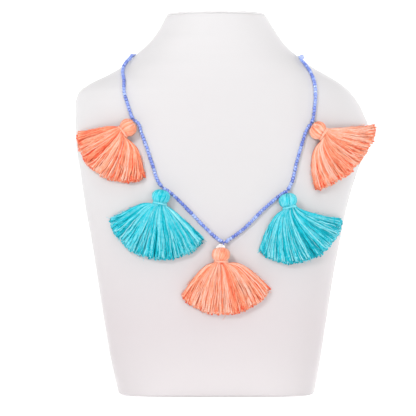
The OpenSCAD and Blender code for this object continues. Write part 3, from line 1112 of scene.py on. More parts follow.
@dataclass
class BeadString:
    """The beads on their thread, laid over the bust along the route.

    Attributes:
        bust: The bust that it lies on.
        diameter: Width of the string.
        gap: Distance that stays free between two pieces.
        clasp_l: Length of the clasp.
        clasp_d: Width of the clasp.
        clasp_at: Share of the bust's height at which the clasp lies.
        clasp_sides: Points round the clasp.
        collar: Share of the clasp's length that each collar takes.
        groove: Depth of the clasp's grooves.
        groove_pitch: Distance from groove to groove.
        loop_d: Width of a hanging loop's thread.
        loop_room: Room between the string and a loop, in gaps.
        pitch: Distance from bead to bead.
        bare: Length to each side of a loop that has no bead's middle.
        bead_sides: Points round a bead.
        bead_full: Share of its place that a bead fills.
        bead_shift: Chance shift of a bead's middle.
        bead_tip: Chance tip of its axis, in millimetres over twice the tip_reach.
        tip_reach: Distance to each side at which the string's direction is taken.
        bead_turn: Chance turn about its axis, as a share of the skin's normal.
        wide_by: Chance share of its width.
        wide_ends: Least and most of that share.
        long_by: Chance share of its length.
        long_ends: Least and most of that share.
        tone_form: Both exponents of the spread of the beads' tones.
        thread_d: Width of the thread through the beads.
        thread_step: Length of a step of that thread.
        samples: Points of the path in a span of the route.
        seed: Start of its random draws.
        stops: The clasp's ends with the route's points between them.
        headings: The path's direction at each stop.
        path: Points of the whole path.
        travelled: Length from the path's start to each of them.
        knot_places: Lengths at which the tassels hang.
    """

    bust: Bust
    diameter: float = 2.2
    gap: float = 0.2
    clasp_l: float = 11.0
    clasp_d: float = 4.4
    clasp_at: float = 0.882
    clasp_sides: int = 48
    collar: float = 0.16
    groove: float = 0.09
    groove_pitch: float = 0.8
    loop_d: float = 0.8
    loop_room: float = 3.0
    pitch: float = 1.65
    bare: float = 1.0
    bead_sides: int = 10
    bead_full: float = 0.97
    bead_shift: float = 0.035
    bead_tip: float = 0.09
    tip_reach: float = 0.8
    bead_turn: float = 0.3
    wide_by: float = 0.035
    wide_ends: tuple[float, float] = (-0.07, 0.06)
    long_by: float = 0.04
    long_ends: tuple[float, float] = (-0.08, 0.05)
    tone_form: float = 2.2
    thread_d: float = 0.6
    thread_step: float = 1.2
    samples: int = 16
    seed: int = 11
    stops: Array = field(init=False)
    headings: Array = field(init=False)
    path: Array = field(init=False)
    travelled: Array = field(init=False)
    knot_places: Array = field(init=False)

    def loop_radius(self) -> float:
        """Radius of a hanging loop round the string, to the middle of its thread."""
        return self.diameter / 2 + self.loop_room * self.gap + self.loop_d / 2

    def clasp_centre(self) -> Array:
        """Middle of the clasp, a gap behind the neck.

        Returns:
            The point.
        """
        z = self.clasp_at * self.bust.height
        p = np.array([0.0, float(self.bust.skin_y(np.array(0.0), np.array(z), Side.BACK.value)), z])
        return p + (self.clasp_d / 2 + self.gap) * self.bust.normal(p)

    def knots(self, fans: list["Fan"]) -> Array:
        """The route's points over the skin, higher where a hanging loop passes behind the string.

        Args:
            fans: The tassels, for the places that they hang at.

        Returns:
            The points in order.
        """
        share, h, side = ROUTE.T
        x = share * self.bust.half_width(h, share)
        z = h * self.bust.height
        p = np.stack([x, self.bust.skin_y(x, z, side), z], axis=-1)
        lift = np.full(len(p), self.gap + self.diameter / 2)
        lift[[fan.knot for fan in fans]] = self.gap + self.loop_radius() + self.loop_d / 2
        return p + lift[:, None] * self.bust.normal(p)

    def lay(self, fans: list["Fan"]) -> None:
        """Lays the string: a smooth curve through the stops, kept clear of the skin.

        A span between two stops is the cubic with the headings at its ends, and a heading is the mean
        of the directions to the stops beside it, each weighed by the other's distance.

        Args:
            fans: The tassels, whose knots lie a little higher.
        """
        end = np.array([self.clasp_l / 2 + self.gap, 0.0, 0.0])
        knots = self.knots(fans)
        stops = np.concatenate([[self.clasp_centre() - end], knots, [self.clasp_centre() + end]])
        steps = np.diff(stops, axis=0)
        spans = np.linalg.norm(steps, axis=1)[:, None]
        back, ahead = spans[:-1], spans[1:]
        inner = (steps[:-1] / back * ahead + steps[1:] / ahead * back) / (back + ahead)
        self.headings = np.concatenate([[[-1.0, 0.0, 0.0]], inner, [[-1.0, 0.0, 0.0]]])
        self.stops = stops
        t = (np.arange(self.samples) / self.samples)[None, :, None]
        a, b = stops[:-1, None], stops[1:, None]
        ha, hb = self.headings[:-1, None] * spans[:, None], self.headings[1:, None] * spans[:, None]
        path = np.concatenate([hermite(t, a, b, ha, hb).reshape(-1, 3), stops[-1:]])
        path[1:-1] = self.bust.clear_of_skin(path[1:-1], self.diameter / 2 + self.gap)
        self.path = path
        self.travelled = length_along(path)
        self.knot_places = self.travelled[(np.array([fan.knot for fan in fans]) + 1) * self.samples]

    def at(self, places: Array) -> Array:
        """Points of the string at lengths from its start."""
        return np.stack([np.interp(places, self.travelled, self.path[:, k]) for k in range(3)], axis=-1)

    def beads(self) -> Surface:
        """The beads: a closed profile turned round each bead's own slightly tilted axis.

        A bead's profile is a barrel with its hole, scaled by that bead's own width and length, and
        beads are left out where a tassel's loop holds the string.

        Returns:
            All the beads as one surface.
        """
        rng = np.random.default_rng(self.seed)
        whole = self.travelled[-1]
        count = int(whole / self.pitch)
        places = (np.arange(count) + 0.5) * whole / count
        near = np.abs(places[:, None] - self.knot_places[None]).min(axis=1)
        places = places[near > self.bare]
        n = len(places)
        centre = self.at(places) + rng.normal(0, self.bead_shift, (n, 3))
        along = self.at(places + self.tip_reach) - self.at(places - self.tip_reach)
        along = unit(along + rng.normal(0, self.bead_tip, (n, 3)))
        first = unit(self.bust.normal(centre) + rng.normal(0, self.bead_turn, (n, 3)))
        first = square_to(first, along)
        radius = self.diameter / 2 * (self.bead_full + rng.normal(0, self.wide_by, n).clip(*self.wide_ends))
        length = self.pitch * (self.bead_full + rng.normal(0, self.long_by, n).clip(*self.long_ends))
        ring = circle(first, np.cross(along, first), self.bead_sides)
        out = radius[:, None, None, None] * BEAD_PROFILE[None, None, :, 0, None] * ring[:, :, None]
        up = length[:, None, None, None] * BEAD_PROFILE[None, None, :, 1, None] * along[:, None, None]
        points = centre[:, None, None] + out + up
        sides, cuts = self.bead_sides, len(BEAD_PROFILE)
        quads, _, row, column = quad_grid(n, sides, cuts, sides)
        uv = np.stack([row / sides, column / cuts], axis=-1)
        tone = np.repeat(rng.beta(self.tone_form, self.tone_form, n), sides * cuts)
        return Surface(points.reshape(-1, 3), [quads], [uv], tone).outward()

    def thread(self) -> Surface:
        """The thin thread through the beads, seen only where beads are left out.

        Returns:
            The thread as one tube along the string's path.
        """
        whole = self.travelled[-1]
        path = self.at(np.linspace(0.0, whole, int(whole / self.thread_step)))
        return tubes(path[None], np.full((1, len(path)), self.thread_d / 2), 6,
                     self.bust.normal(path)[None], np.array([0.5]))

    def clasp(self) -> Surface:
        """The barrel clasp: a turned profile with a collar at each end and fine grooves round it.

        The radius is the profile's, less a groove that comes and goes along the barrel.

        Returns:
            The clasp's closed surface.
        """
        collar = self.collar * self.clasp_l
        half = self.clasp_l / 2
        knots = np.array([
            [-half, 0.30], [-half + 0.12, 0.36], [-half + collar / 3, 0.50], [-half + collar, 0.50],
            [-half + 1.2 * collar, 0.41], [half - 1.2 * collar, 0.41], [half - collar, 0.50],
            [half - collar / 3, 0.50], [half - 0.12, 0.36], [half, 0.30],
        ])
        x = np.linspace(-half, half, 121)
        radius = np.interp(x, knots[:, 0], knots[:, 1]) * self.clasp_d
        barrel = smoothstep((half - 1.5 * collar - np.abs(x)) / 0.4)
        radius = radius - self.groove * barrel * np.abs(np.sin(np.pi * x / self.groove_pitch)) ** 6
        angle = angles_round(self.clasp_sides)
        y, z = radius[:, None] * np.cos(angle), radius[:, None] * np.sin(angle)
        x = np.broadcast_to(x[:, None], y.shape)
        return closed_skin(self.clasp_centre() + np.stack([x, y, z], axis=-1))

    def build(self, finishes: Finishes) -> None:
        """Builds the beads, their thread and the clasp and ties them to the frame.

        Args:
            finishes: The materials.
        """
        place(self.beads().to_object("seed_beads", finishes.glaze), "beads", "bead_string")
        place(self.thread().to_object("stringing_thread", finishes.stringing), "beads", "bead_string")
        place(self.clasp().to_object("barrel_clasp", finishes.metal), "clasp_metal", "clasp")


# ---------------------------------------------------------------------------------------------
# The tassels
# ---------------------------------------------------------------------------------------------

@dataclass(frozen=True)
class Fan:
    """Where one tassel hangs and how its skirt spreads, in degrees from straight down.

    Attributes:
        name: Its colour and place, as in the names of the CAD nodes.
        yarn: Its thread.
        knot: Number of the route's point that it hangs at.
        aside: Direction from that point to the head's middle.
        slack: Further drop of the head, in widths of the string.
        tilt: Direction of the tassel's axis.
        spread: Directions of the skirt's first and last threads.
        flare: Distances that those two move sideways, in millimetres.
        rise: Degrees by which they leave the throat further out.
        reach: Lengths at the first edge, in the middle and at the last edge, as shares of the skirt's.
        seed: Start of its random draws.
        plump: Share that the head's length is multiplied by.
        white_loop: Whether white thread stands out of the head's top.
        shade: Depth of tone that the first edge has over the last.
    """

    name: str
    yarn: Yarn
    knot: int
    aside: float
    slack: float
    tilt: float
    spread: tuple[float, float]
    flare: tuple[float, float]
    rise: tuple[float, float]
    reach: tuple[float, float, float]
    seed: int
    plump: float = 1.0
    white_loop: bool = False
    shade: float = 0.0


FANS = [
    Fan("coral_left", Yarn.CORAL, 12, -34, 0.00, -52, (-89, 19), (0.9, 4.1), (2, 13),
        (0.86, 0.85, 0.86), 21, 1.1, shade=0.15),
    Fan("turquoise_left", Yarn.TURQUOISE, 18, -12, 0.00, -9, (-68, 50), (3.9, 0.8), (-3, 3),
        (0.89, 0.98, 1.03), 22),
    Fan("coral_centre", Yarn.CORAL, 23, -16, 0.75, 0, (-45, 55), (2.4, 4.1), (9, 9),
        (0.91, 0.94, 0.95), 23, 1.0, True),
    Fan("turquoise_right", Yarn.TURQUOISE, 28, 2, 0.20, 13, (-30, 80), (2.3, -0.8), (11, -5),
        (0.94, 1.00, 1.04), 24),
    Fan("coral_right", Yarn.CORAL, 33, 46, 0.00, 58, (-3, 102), (4.0, 0.2), (17, -4),
        (0.95, 0.81, 1.02), 25, 1.1),
]


@dataclass(frozen=True)
class Lie:
    """How the threads of a skirt lie. Depths go from -1 in front to 1 behind.

    Attributes:
        jitter: Chance step of a thread along the fan, in shares of its layer's spacing.
        edges: Shares of the fan that the first and the last thread may lie at.
        depths: Depths that the threads may lie at.
        gather: Share of their distance to their lock's middle that the front threads keep.
        valley: Depth that is left of the front threads where two locks meet.
        front_short: Length that the front threads lack.
        ragged: Chance length of a thread.
        lock_ragged: Chance length of a lock.
        lengths: Least and most length, as shares of the skirt's.
        waves: Fewest and most waves along a thread.
        sway: Millimetres that those waves go sideways at the tip.
        bend: Chance millimetres that a tip lies aside.
        ripple: Millimetres of the smaller waves.
        ripple_waves: How many times as many they are.
        swell: Millimetres that a thread waves forward and back at its tip.
        swells: Fewest and most of those waves.
        swell_to: Depth as far as which the threads have them.
        throat: Share of the throat's width that the skirt starts with as its thickness.
        hem_thin: Share of their depth that the threads lose towards the hem.
        root_up: Millimetres up into the throat of each thread's two first points.
        root_in: Share of their distance from the axis that those points keep.
        root_r: Share of its radius that a thread starts with.
        radii: Least and most radius, as shares of the thread's own.
        tip_r: Shares by which the two last points are thicker.
        tone: Middle of the tones.
        back_shade: How much paler the front is, as painted shade on the threads behind.
        tone_by: Chance tone of a thread.
        lock_tone: Chance tone of a lock.
        tip_from: Share of the length at which the cut tip's tone starts.
        tip_tone: Mean and spread of what the tip's tone adds; the mean is painted light that makes up for the
            shade on the tips, and the spread mottles them.
        lining_jitter: Share of the jitter that the lining has.
        lining_depth: Its depth.
        lining_sway: Share of the sway that it has.
        lining_shade: Its deepest tone, and how much chance adds, as painted shade in the gaps between the
            other threads.
    """

    jitter: float = 0.42
    edges: tuple[float, float] = (0.002, 0.998)
    depths: tuple[float, float] = (-0.97, 0.88)
    gather: float = 0.78
    valley: float = 0.66
    front_short: float = 0.070
    ragged: float = 0.009
    lock_ragged: float = 0.006
    lengths: tuple[float, float] = (0.85, 1.01)
    waves: tuple[float, float] = (0.6, 1.8)
    sway: float = 0.34
    bend: float = 0.60
    ripple: float = 0.13
    ripple_waves: float = 2.7
    swell: float = 0.16
    swells: tuple[float, float] = (0.4, 1.2)
    swell_to: float = 0.3
    throat: float = 0.8
    hem_thin: float = 0.12
    root_up: tuple[float, float] = (2.1, 0.9)
    root_in: tuple[float, float] = (0.86, 0.96)
    root_r: float = 0.62
    radii: tuple[float, float] = (0.86, 1.10)
    tip_r: tuple[float, float] = (1.10, 1.16)
    tone: float = 0.48
    back_shade: float = 0.24
    tone_by: float = 0.17
    lock_tone: float = 0.07
    tip_from: float = 0.86
    tip_tone: tuple[float, float] = (0.04, 0.28)
    lining_jitter: float = 0.1
    lining_depth: float = 0.6
    lining_sway: float = 0.2
    lining_shade: tuple[float, float] = (0.12, 0.1)


@dataclass(frozen=True)
class Strands:
    """The threads of a skirt, with one entry of each array for each thread.

    Attributes:
        lining: Whether it belongs to the last layer, the lining.
        start: Its share of the fan at the throat.
        end: Its share of the fan at the hem, where it lies nearer to its lock's middle.
        depth: Its depth, from -1 in front to 1 behind.
        lock: Number of its lock.
        length: Its share of the skirt's length.
    """

    lining: Array
    start: Array
    end: Array
    depth: Array
    lock: Array
    length: Array


@dataclass
class Tassel:
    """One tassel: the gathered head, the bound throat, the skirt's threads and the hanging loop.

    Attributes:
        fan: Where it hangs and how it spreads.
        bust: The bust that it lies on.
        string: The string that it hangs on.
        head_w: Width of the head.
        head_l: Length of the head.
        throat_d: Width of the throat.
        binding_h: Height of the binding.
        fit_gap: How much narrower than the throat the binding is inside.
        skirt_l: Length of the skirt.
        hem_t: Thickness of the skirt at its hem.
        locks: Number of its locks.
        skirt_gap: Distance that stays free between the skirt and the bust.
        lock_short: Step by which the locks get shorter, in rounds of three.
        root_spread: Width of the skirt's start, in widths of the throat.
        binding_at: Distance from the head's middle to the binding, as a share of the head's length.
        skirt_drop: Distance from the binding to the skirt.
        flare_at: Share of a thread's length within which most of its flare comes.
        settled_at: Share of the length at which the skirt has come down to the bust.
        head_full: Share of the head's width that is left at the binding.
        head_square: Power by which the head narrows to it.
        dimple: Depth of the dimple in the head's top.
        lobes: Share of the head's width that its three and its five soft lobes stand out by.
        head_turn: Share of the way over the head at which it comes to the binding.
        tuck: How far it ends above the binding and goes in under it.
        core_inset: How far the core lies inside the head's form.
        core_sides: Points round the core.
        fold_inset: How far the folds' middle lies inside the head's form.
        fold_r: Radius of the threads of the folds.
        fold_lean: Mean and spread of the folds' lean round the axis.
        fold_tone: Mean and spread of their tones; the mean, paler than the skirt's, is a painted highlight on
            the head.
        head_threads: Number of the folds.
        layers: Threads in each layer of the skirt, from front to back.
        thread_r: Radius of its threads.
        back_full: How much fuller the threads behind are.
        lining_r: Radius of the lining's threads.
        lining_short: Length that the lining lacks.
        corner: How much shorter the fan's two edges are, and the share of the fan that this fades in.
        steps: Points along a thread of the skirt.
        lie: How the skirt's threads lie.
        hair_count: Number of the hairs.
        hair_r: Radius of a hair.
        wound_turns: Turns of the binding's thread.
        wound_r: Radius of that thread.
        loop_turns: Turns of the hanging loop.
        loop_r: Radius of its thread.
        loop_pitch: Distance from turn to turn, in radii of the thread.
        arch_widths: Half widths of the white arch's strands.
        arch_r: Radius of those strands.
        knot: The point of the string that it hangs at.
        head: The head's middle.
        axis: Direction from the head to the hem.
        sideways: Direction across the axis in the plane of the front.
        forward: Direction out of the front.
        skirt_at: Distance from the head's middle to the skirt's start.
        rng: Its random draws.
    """

    fan: Fan
    bust: Bust
    string: BeadString
    head_w: float = 10.0
    head_l: float = 8.0
    throat_d: float = 7.0
    binding_h: float = 1.4
    fit_gap: float = 0.1
    skirt_l: float = 31.5
    hem_t: float = 4.4
    locks: int = 11
    skirt_gap: float = 0.4
    lock_short: float = 0.008
    root_spread: float = 1.15
    binding_at: float = 0.42
    skirt_drop: float = 0.3
    flare_at: float = 0.09
    settled_at: float = 0.7
    head_full: float = 0.74
    head_square: float = 2.4
    dimple: float = 0.2
    lobes: tuple[float, float] = (0.016, 0.010)
    head_turn: float = 0.86
    tuck: float = 0.35
    core_inset: float = 0.42
    core_sides: int = 40
    fold_inset: float = 0.27
    fold_r: float = 0.38
    fold_lean: tuple[float, float] = (0.45, 0.16)
    fold_tone: tuple[float, float] = (0.65, 0.15)
    head_threads: int = 60
    layers: tuple[int, ...] = (62, 70, 76, 70, 62, 64)
    thread_r: float = 0.36
    back_full: float = 1.3
    lining_r: float = 0.62
    lining_short: float = 0.03
    corner: tuple[float, float] = (0.05, 0.03)
    steps: int = 18
    lie: Lie = Lie()
    hair_count: int = 60
    hair_r: float = 0.07
    wound_turns: float = 2.2
    wound_r: float = 0.31
    loop_turns: int = 2
    loop_r: float = 0.18
    loop_pitch: float = 1.9
    arch_widths: Triple = (2.2, 1.45, 0.7)
    arch_r: float = 0.34
    knot: Array = field(init=False)
    head: Array = field(init=False)
    axis: Array = field(init=False)
    sideways: Array = field(init=False)
    forward: Array = field(init=False)
    skirt_at: float = field(init=False)
    rng: np.random.Generator = field(init=False)

    def __post_init__(self) -> None:
        """Finds the head's middle: under its knot by the least drop that clears the string."""
        string_r = self.string.diameter / 2 + self.string.gap
        behind = self.head_w / 2 - self.string.loop_radius() - self.string.loop_d / 2
        top = self.fan.plump * self.head_l / 2
        least = (top + string_r) * np.sqrt(1 - (behind / (self.head_w / 2 + string_r)) ** 2)
        self.knot = self.string.stops[self.fan.knot + 1]
        p = self.knot + (least + self.fan.slack * self.string.diameter) * down(self.fan.aside)
        y = self.bust.rest_y(p[0], p[2], self.string.gap, self.head_w / 2, self.head_w / 2)
        self.head = np.array([p[0], float(y), p[2]])
        self.axis = down(self.fan.tilt)
        self.sideways = across(self.fan.tilt)
        self.forward = np.array([0.0, -1.0, 0.0])
        self.skirt_at = self.binding_at * self.head_l + self.binding_h + self.skirt_drop
        self.rng = np.random.default_rng(self.fan.seed)

    def reach(self, f: Array) -> Array:
        """Length of the threads at shares of the fan: a parabola through its three reaches.

        Args:
            f: Shares of the fan, from its first edge to its last.

        Returns:
            The lengths.
        """
        first, middle, last = self.fan.reach
        share = first * (1 - f) * (1 - 2 * f) + middle * 4 * f * (1 - f) + last * f * (2 * f - 1)
        return self.skirt_l * share

    def fan_line(self, f: Array, s: Array) -> Array:
        """Middle lines of the threads in the plane of the fan.

        From its place across the throat a thread leaves along a direction turned outwards by the
        rise and bends to its own direction in the fan towards its tip. The flare moves it sideways,
        half way between square to the tassel and square to the thread, and most of it within the
        first share flare_at of its length.

        Args:
            f: Shares of the fan, from its first edge to its last.
            s: Shares of the threads' length.

        Returns:
            Points, whose y is the head's.
        """
        angle = mix(self.fan.spread[0], self.fan.spread[1], f)
        rising = angle + mix(-self.fan.rise[0], self.fan.rise[1], f)
        start = ((f - 0.5) * self.root_spread * self.throat_d)[..., None] * self.sideways
        flare = mix(-self.fan.flare[0], self.fan.flare[1], f) * (1 - np.exp(-s / self.flare_at))
        reach, s = self.reach(f)[..., None], s[..., None]
        line = (1 - s) * start + s * (1 - s) * reach * down(rising) + s * s * reach * down(angle)
        sideways = across((angle + self.fan.tilt) / 2)
        return self.head + self.skirt_at * self.axis + line + flare[..., None] * sideways

    def on_axis(self, radius: Array, distance: Array, angle: Array) -> Array:
        """Points round the tassel's axis by radius, distance from the head's middle and angle."""
        out = np.cos(angle)[..., None] * self.sideways + np.sin(angle)[..., None] * self.forward
        return self.head + distance[..., None] * self.axis + radius[..., None] * out

    def seated(self, line: Array, s: Array, thick: Array) -> Array:
        """Depth of the skirt's middle: level with the head at the throat, on the skin further down."""
        seat = self.bust.rest_y(line[..., 0], line[..., 2], self.skirt_gap, thick)
        return np.minimum(seat, mix(self.head[1], seat, np.minimum(1.0, s / self.settled_at)))

    def strands(self) -> Strands:
        """Draws the skirt's threads: the front ones are gathered into locks and flatter between them.

        The last layer is an even lining, which closes the gaps between the others.

        Returns:
            The threads, layer by layer.
        """
        rng, lie, n = self.rng, self.lie, sum(self.layers)
        layer = np.repeat(np.arange(len(self.layers)), self.layers)
        lining = layer == len(self.layers) - 1
        start = np.concatenate([(np.arange(k) + 0.5) / k for k in self.layers])
        jitter = np.where(lining, lie.lining_jitter, 1.0) * rng.uniform(-lie.jitter, lie.jitter, n)
        start = (start + jitter / np.repeat(self.layers, self.layers)).clip(*lie.edges)
        depth = (-1 + 2 * (layer + rng.uniform(0.0, 1.0, n)) / len(self.layers)).clip(*lie.depths)
        depth = np.where(lining, lie.lining_depth, depth)
        lock = np.minimum(np.floor(start * self.locks), self.locks - 1).astype(int)
        in_lock = start * self.locks - lock
        gather = mix(lie.gather, 1.0, smoothstep((depth + 0.7) / 0.9))
        end = (lock + 0.5 + gather * (in_lock - 0.5)) / self.locks
        depth = np.where(depth < 0, depth * mix(lie.valley, 1.0, np.sin(np.pi * in_lock) ** 0.7), depth)
        length = 1 - self.lock_short * (lock % 3) - lie.front_short * (1 - depth) / 2
        length = length + rng.normal(0, lie.ragged, n)
        length = (length + rng.normal(0, lie.lock_ragged, self.locks)[lock]).clip(*lie.lengths)
        deep, wide = self.corner
        length = length - deep * (np.exp(-start / wide) + np.exp((start - 1) / wide))
        return Strands(lining, start, end, depth, lock, length - self.lining_short * lining)

    def strand_paths(self, strands: Strands) -> Array:
        """Middle lines of the skirt's threads, with the two first points of each up in the throat.

        Each thread follows its line of the fan, moved sideways by slow and smaller waves, and forward
        by its depth's share of the skirt's thickness.

        Args:
            strands: The threads.

        Returns:
            Points by thread and by step.
        """
        rng, lie, n = self.rng, self.lie, len(strands.start)
        s = strands.length[:, None] * np.linspace(0.0, 1.0, self.steps)[None]
        f = mix(strands.start[:, None], strands.end[:, None], smoothstep(s * 1.1))
        line = self.fan_line(f, s)
        angle = mix(self.fan.spread[0], self.fan.spread[1], f)
        waves, phase = rng.uniform(*lie.waves, (n, 1)), rng.uniform(0, 2 * np.pi, (n, 1))
        sway = lie.sway * np.sin(2 * np.pi * waves * s + phase) * s + rng.normal(0, lie.bend, (n, 1)) * s * s
        ripple = np.sin(2 * np.pi * (lie.ripple_waves * waves) * s + 3 * phase) * smoothstep(3 * s)
        sway = np.where(strands.lining, lie.lining_sway, 1.0)[:, None] * (sway + lie.ripple * ripple)
        line = line + sway[..., None] * across(angle)
        throat = lie.throat * self.throat_d * np.sqrt(1 - 0.8 * (2 * f - 1) ** 2)
        thick, depth = mix(throat, self.hem_t, s) / 2, strands.depth[:, None]
        swell = lie.swell * np.sin(2 * np.pi * (rng.uniform(*lie.swells, (n, 1)) * s) + 2 * phase) * s
        line[..., 1] = self.seated(line, s, thick) + depth * thick * (1 - lie.hem_thin * s)
        line[..., 1] += swell * (depth < lie.swell_to)
        root = line[:, :1] - self.axis * np.array(lie.root_up)[None, :, None]
        middle = self.head + (root - self.head) @ self.axis[:, None] * self.axis
        root = middle + (root - middle) * np.array(lie.root_in)[None, :, None]
        return np.concatenate([root, line], axis=1)

    def strand_radii(self, strands: Strands, steps: int) -> Array:
        """Radii of the skirt's threads, thin at the root, a little fuller at the cut tip.

        Args:
            strands: The threads.
            steps: Points along a thread, with its root.

        Returns:
            Radii by thread and by step.
        """
        lie, n = self.lie, len(strands.start)
        radii = self.thread_r * mix(lie.root_r, 1.0, smoothstep(np.linspace(0, 3.0, steps)))
        radii = radii[None] * self.rng.uniform(*lie.radii, (n, 1))
        fuller = mix(1.0, self.back_full, smoothstep(strands.depth / 0.5))
        radii = radii * np.where(strands.lining, self.lining_r / self.thread_r, fuller)[:, None]
        radii[:, -2:] *= lie.tip_r
        return radii

    def strand_tones(self, strands: Strands, steps: int) -> Array:
        """Tones of the skirt's threads: by the fan's shade, the depth and the lining as painted shade, the
        lock, the tip and chance.

        Args:
            strands: The threads.
            steps: Points along a thread, with its root.

        Returns:
            Tones by thread and by step.
        """
        rng, lie, n = self.rng, self.lie, len(strands.start)
        # Painted shade: threads further back are toned deeper.
        tone = lie.tone - self.fan.shade * (1 - strands.start) - lie.back_shade * strands.depth
        tone = tone + rng.normal(0, lie.tone_by, n)
        tone = tone + rng.normal(0, lie.lock_tone, self.locks)[strands.lock]
        # Painted shade: the lining is toned deep, as the shade seen in the gaps between the other threads.
        deepest, more = lie.lining_shade
        tone = np.where(strands.lining, deepest + more * rng.uniform(0, 1, n), tone)
        near_tip = smoothstep((np.linspace(0, 1, steps) - lie.tip_from) / (1 - lie.tip_from))
        # The tips' mean tone is raised as painted light against their shade; the spread mottles them.
        return (tone[:, None] + near_tip * rng.normal(*lie.tip_tone, (n, 1))).clip(0.0, 1.0)

    def skirt(self) -> Surface:
        """The skirt's threads in layers from front to back.

        Returns:
            The threads as one surface of tubes.
        """
        strands = self.strands()
        paths = self.strand_paths(strands)
        radii = self.strand_radii(strands, paths.shape[1])
        return tubes(paths, radii, 6, self.forward, self.strand_tones(strands, paths.shape[1]))

    def hairs(self) -> Surface:
        """Fine stray hairs that leave the skirt near its edges and its hem.

        Returns:
            The hairs as thin tubes, each bent sideways by the square of its way.
        """
        rng, n = self.rng, self.hair_count
        edge = rng.uniform(size=n) < 0.4
        f = np.where(edge, np.where(rng.uniform(size=n) < 0.5, 0.0, 1.0), rng.uniform(0, 1, n))[:, None]
        from_s = np.where(edge, rng.uniform(0.3, 0.9, n), rng.uniform(0.80, 0.93, n))[:, None]
        t = np.linspace(0, 1, 9)[None]
        s = from_s + rng.uniform(0.06, 0.13, (n, 1)) * t
        line = self.fan_line(np.broadcast_to(f, s.shape), s)
        angle = mix(self.fan.spread[0], self.fan.spread[1], np.broadcast_to(f, s.shape))
        side = np.where(edge, np.sign(f[:, 0] - 0.5) * rng.uniform(0.3, 1.6, n), rng.normal(0, 1.2, n))
        line = line + (side[:, None] * t**2)[..., None] * across(angle)
        seat = self.bust.rest_y(line[..., 0], line[..., 2], self.skirt_gap, self.hem_t / 2)
        line[..., 1] = seat + rng.uniform(-0.9, 0.5, (n, 1)) * self.hem_t / 2 - 0.5 * t**2
        return tubes(line, np.full(line.shape[:2], self.hair_r), 4, self.forward, rng.uniform(0.4, 0.9, n))

    def head_profile(self, turn: Array, angle: Array, inset: float) -> tuple[Array, Array]:
        """The gathered head's form: a ball with soft lobes and a dimple, full down to the binding.

        The upper half is an ellipsoid. Below the middle the radius falls off with a power of the
        share of the way to the binding, down to the share head_full, and then turns in under it.

        Args:
            turn: Shares of the way from the top's middle to under the binding.
            angle: Angles round the axis.
            inset: Distance that the form is drawn in.

        Returns:
            The radius and the distance along the axis.
        """
        way = 2 * np.minimum(turn / self.head_turn, 1.0)
        polar, low = np.pi / 2 * np.minimum(way, 1.0), np.maximum(way - 1.0, 0.0)
        power = self.head_square
        form = np.sin(polar) * (1 - (1 - self.head_full**power) * low**power) ** (1 / power)
        wide, fine = self.lobes
        lobes = 1 + wide * np.sin(3 * angle + self.fan.seed) + fine * np.sin(5 * angle + 2 * self.fan.seed)
        radius = (self.head_w / 2 * lobes - inset) * form
        bound = self.binding_at * self.head_l
        distance = (bound - self.tuck) * low - (self.fan.plump * self.head_l / 2 - inset) * np.cos(polar)
        distance = distance + self.dimple * np.exp(-((polar / 0.42) ** 2))
        under = smoothstep((turn - 0.84) / 0.16)
        throat = self.throat_d / 2 - self.tuck - inset
        return mix(radius, throat, under), mix(distance, bound + 1.2, under)

    def head_core(self) -> Surface:
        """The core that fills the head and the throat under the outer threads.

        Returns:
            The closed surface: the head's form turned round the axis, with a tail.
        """
        turn = np.linspace(0.03, 1.0, 26)[:, None]
        angle = angles_round(self.core_sides)[None]
        radius, distance = self.head_profile(turn, angle, self.core_inset)
        tail = np.array([0.5, 1.0])[:, None]
        radius = np.concatenate([radius, np.broadcast_to(radius[-1:], (2, self.core_sides)) * 0.92])
        end = distance[-1:] + (self.skirt_at + 0.6 - distance[-1:]) * tail
        distance = np.concatenate([distance, end])
        rings = self.on_axis(radius, distance, np.broadcast_to(angle, radius.shape))
        # Painted shade: the core is toned deep, as the shade seen between the folds.
        return closed_skin(rings, 0.30)

    def head_folds(self) -> Surface:
        """The threads that turn over the head, side by side from its top into the throat.

        Returns:
            The threads as tubes on the head's form, each leaning a little as it goes.
        """
        rng, n = self.rng, self.head_threads
        turn = mix(rng.uniform(0.05, 0.13, (n, 1)), 0.985, np.linspace(0, 1, 24)[None])
        base = 2 * np.pi * (np.arange(n) + rng.uniform(-0.35, 0.35, n)) / n
        lean = rng.normal(*self.fold_lean, (n, 1))
        angle = base[:, None] + lean * (turn - 0.5) + 0.05 * np.sin(6 * turn + base[:, None] * 3)
        radius, distance = self.head_profile(turn, angle, self.fold_inset)
        lift = rng.uniform(-0.10, 0.05, (n, 1)) * np.sin(np.pi * turn)
        path = self.on_axis(radius + lift, distance, angle)
        aside = -np.sin(base)[:, None, None] * self.sideways + np.cos(base)[:, None, None] * self.forward
        swell = mix(0.50, 1.0, smoothstep((turn - 0.04) / 0.3))
        swell = swell * mix(1.0, 0.70, smoothstep((turn - 0.75) / 0.2))
        # Painted highlight: the folds are toned paler than the skirt.
        return tubes(path, self.fold_r * swell, 6, aside, rng.normal(*self.fold_tone, n).clip(0.1, 1))

    def wound_binding(self) -> Surface:
        """The thread wound round the throat: a coil of close turns.

        Returns:
            The coil as one tube whose distance and angle grow evenly.
        """
        t = np.linspace(0, 1, 86)
        distance = self.binding_at * self.head_l + mix(self.wound_r, self.binding_h - self.wound_r, t)
        angle = np.radians(110 + 25 * self.fan.seed) + 2 * np.pi * self.wound_turns * t
        radius = np.full_like(t, (self.throat_d - self.fit_gap) / 2 + self.wound_r)
        path = self.on_axis(radius, distance, angle)[None]
        # Painted highlight: the wound thread is toned pale.
        return tubes(path, np.full(path.shape[:2], self.wound_r), 8, self.axis, np.array([0.82]))

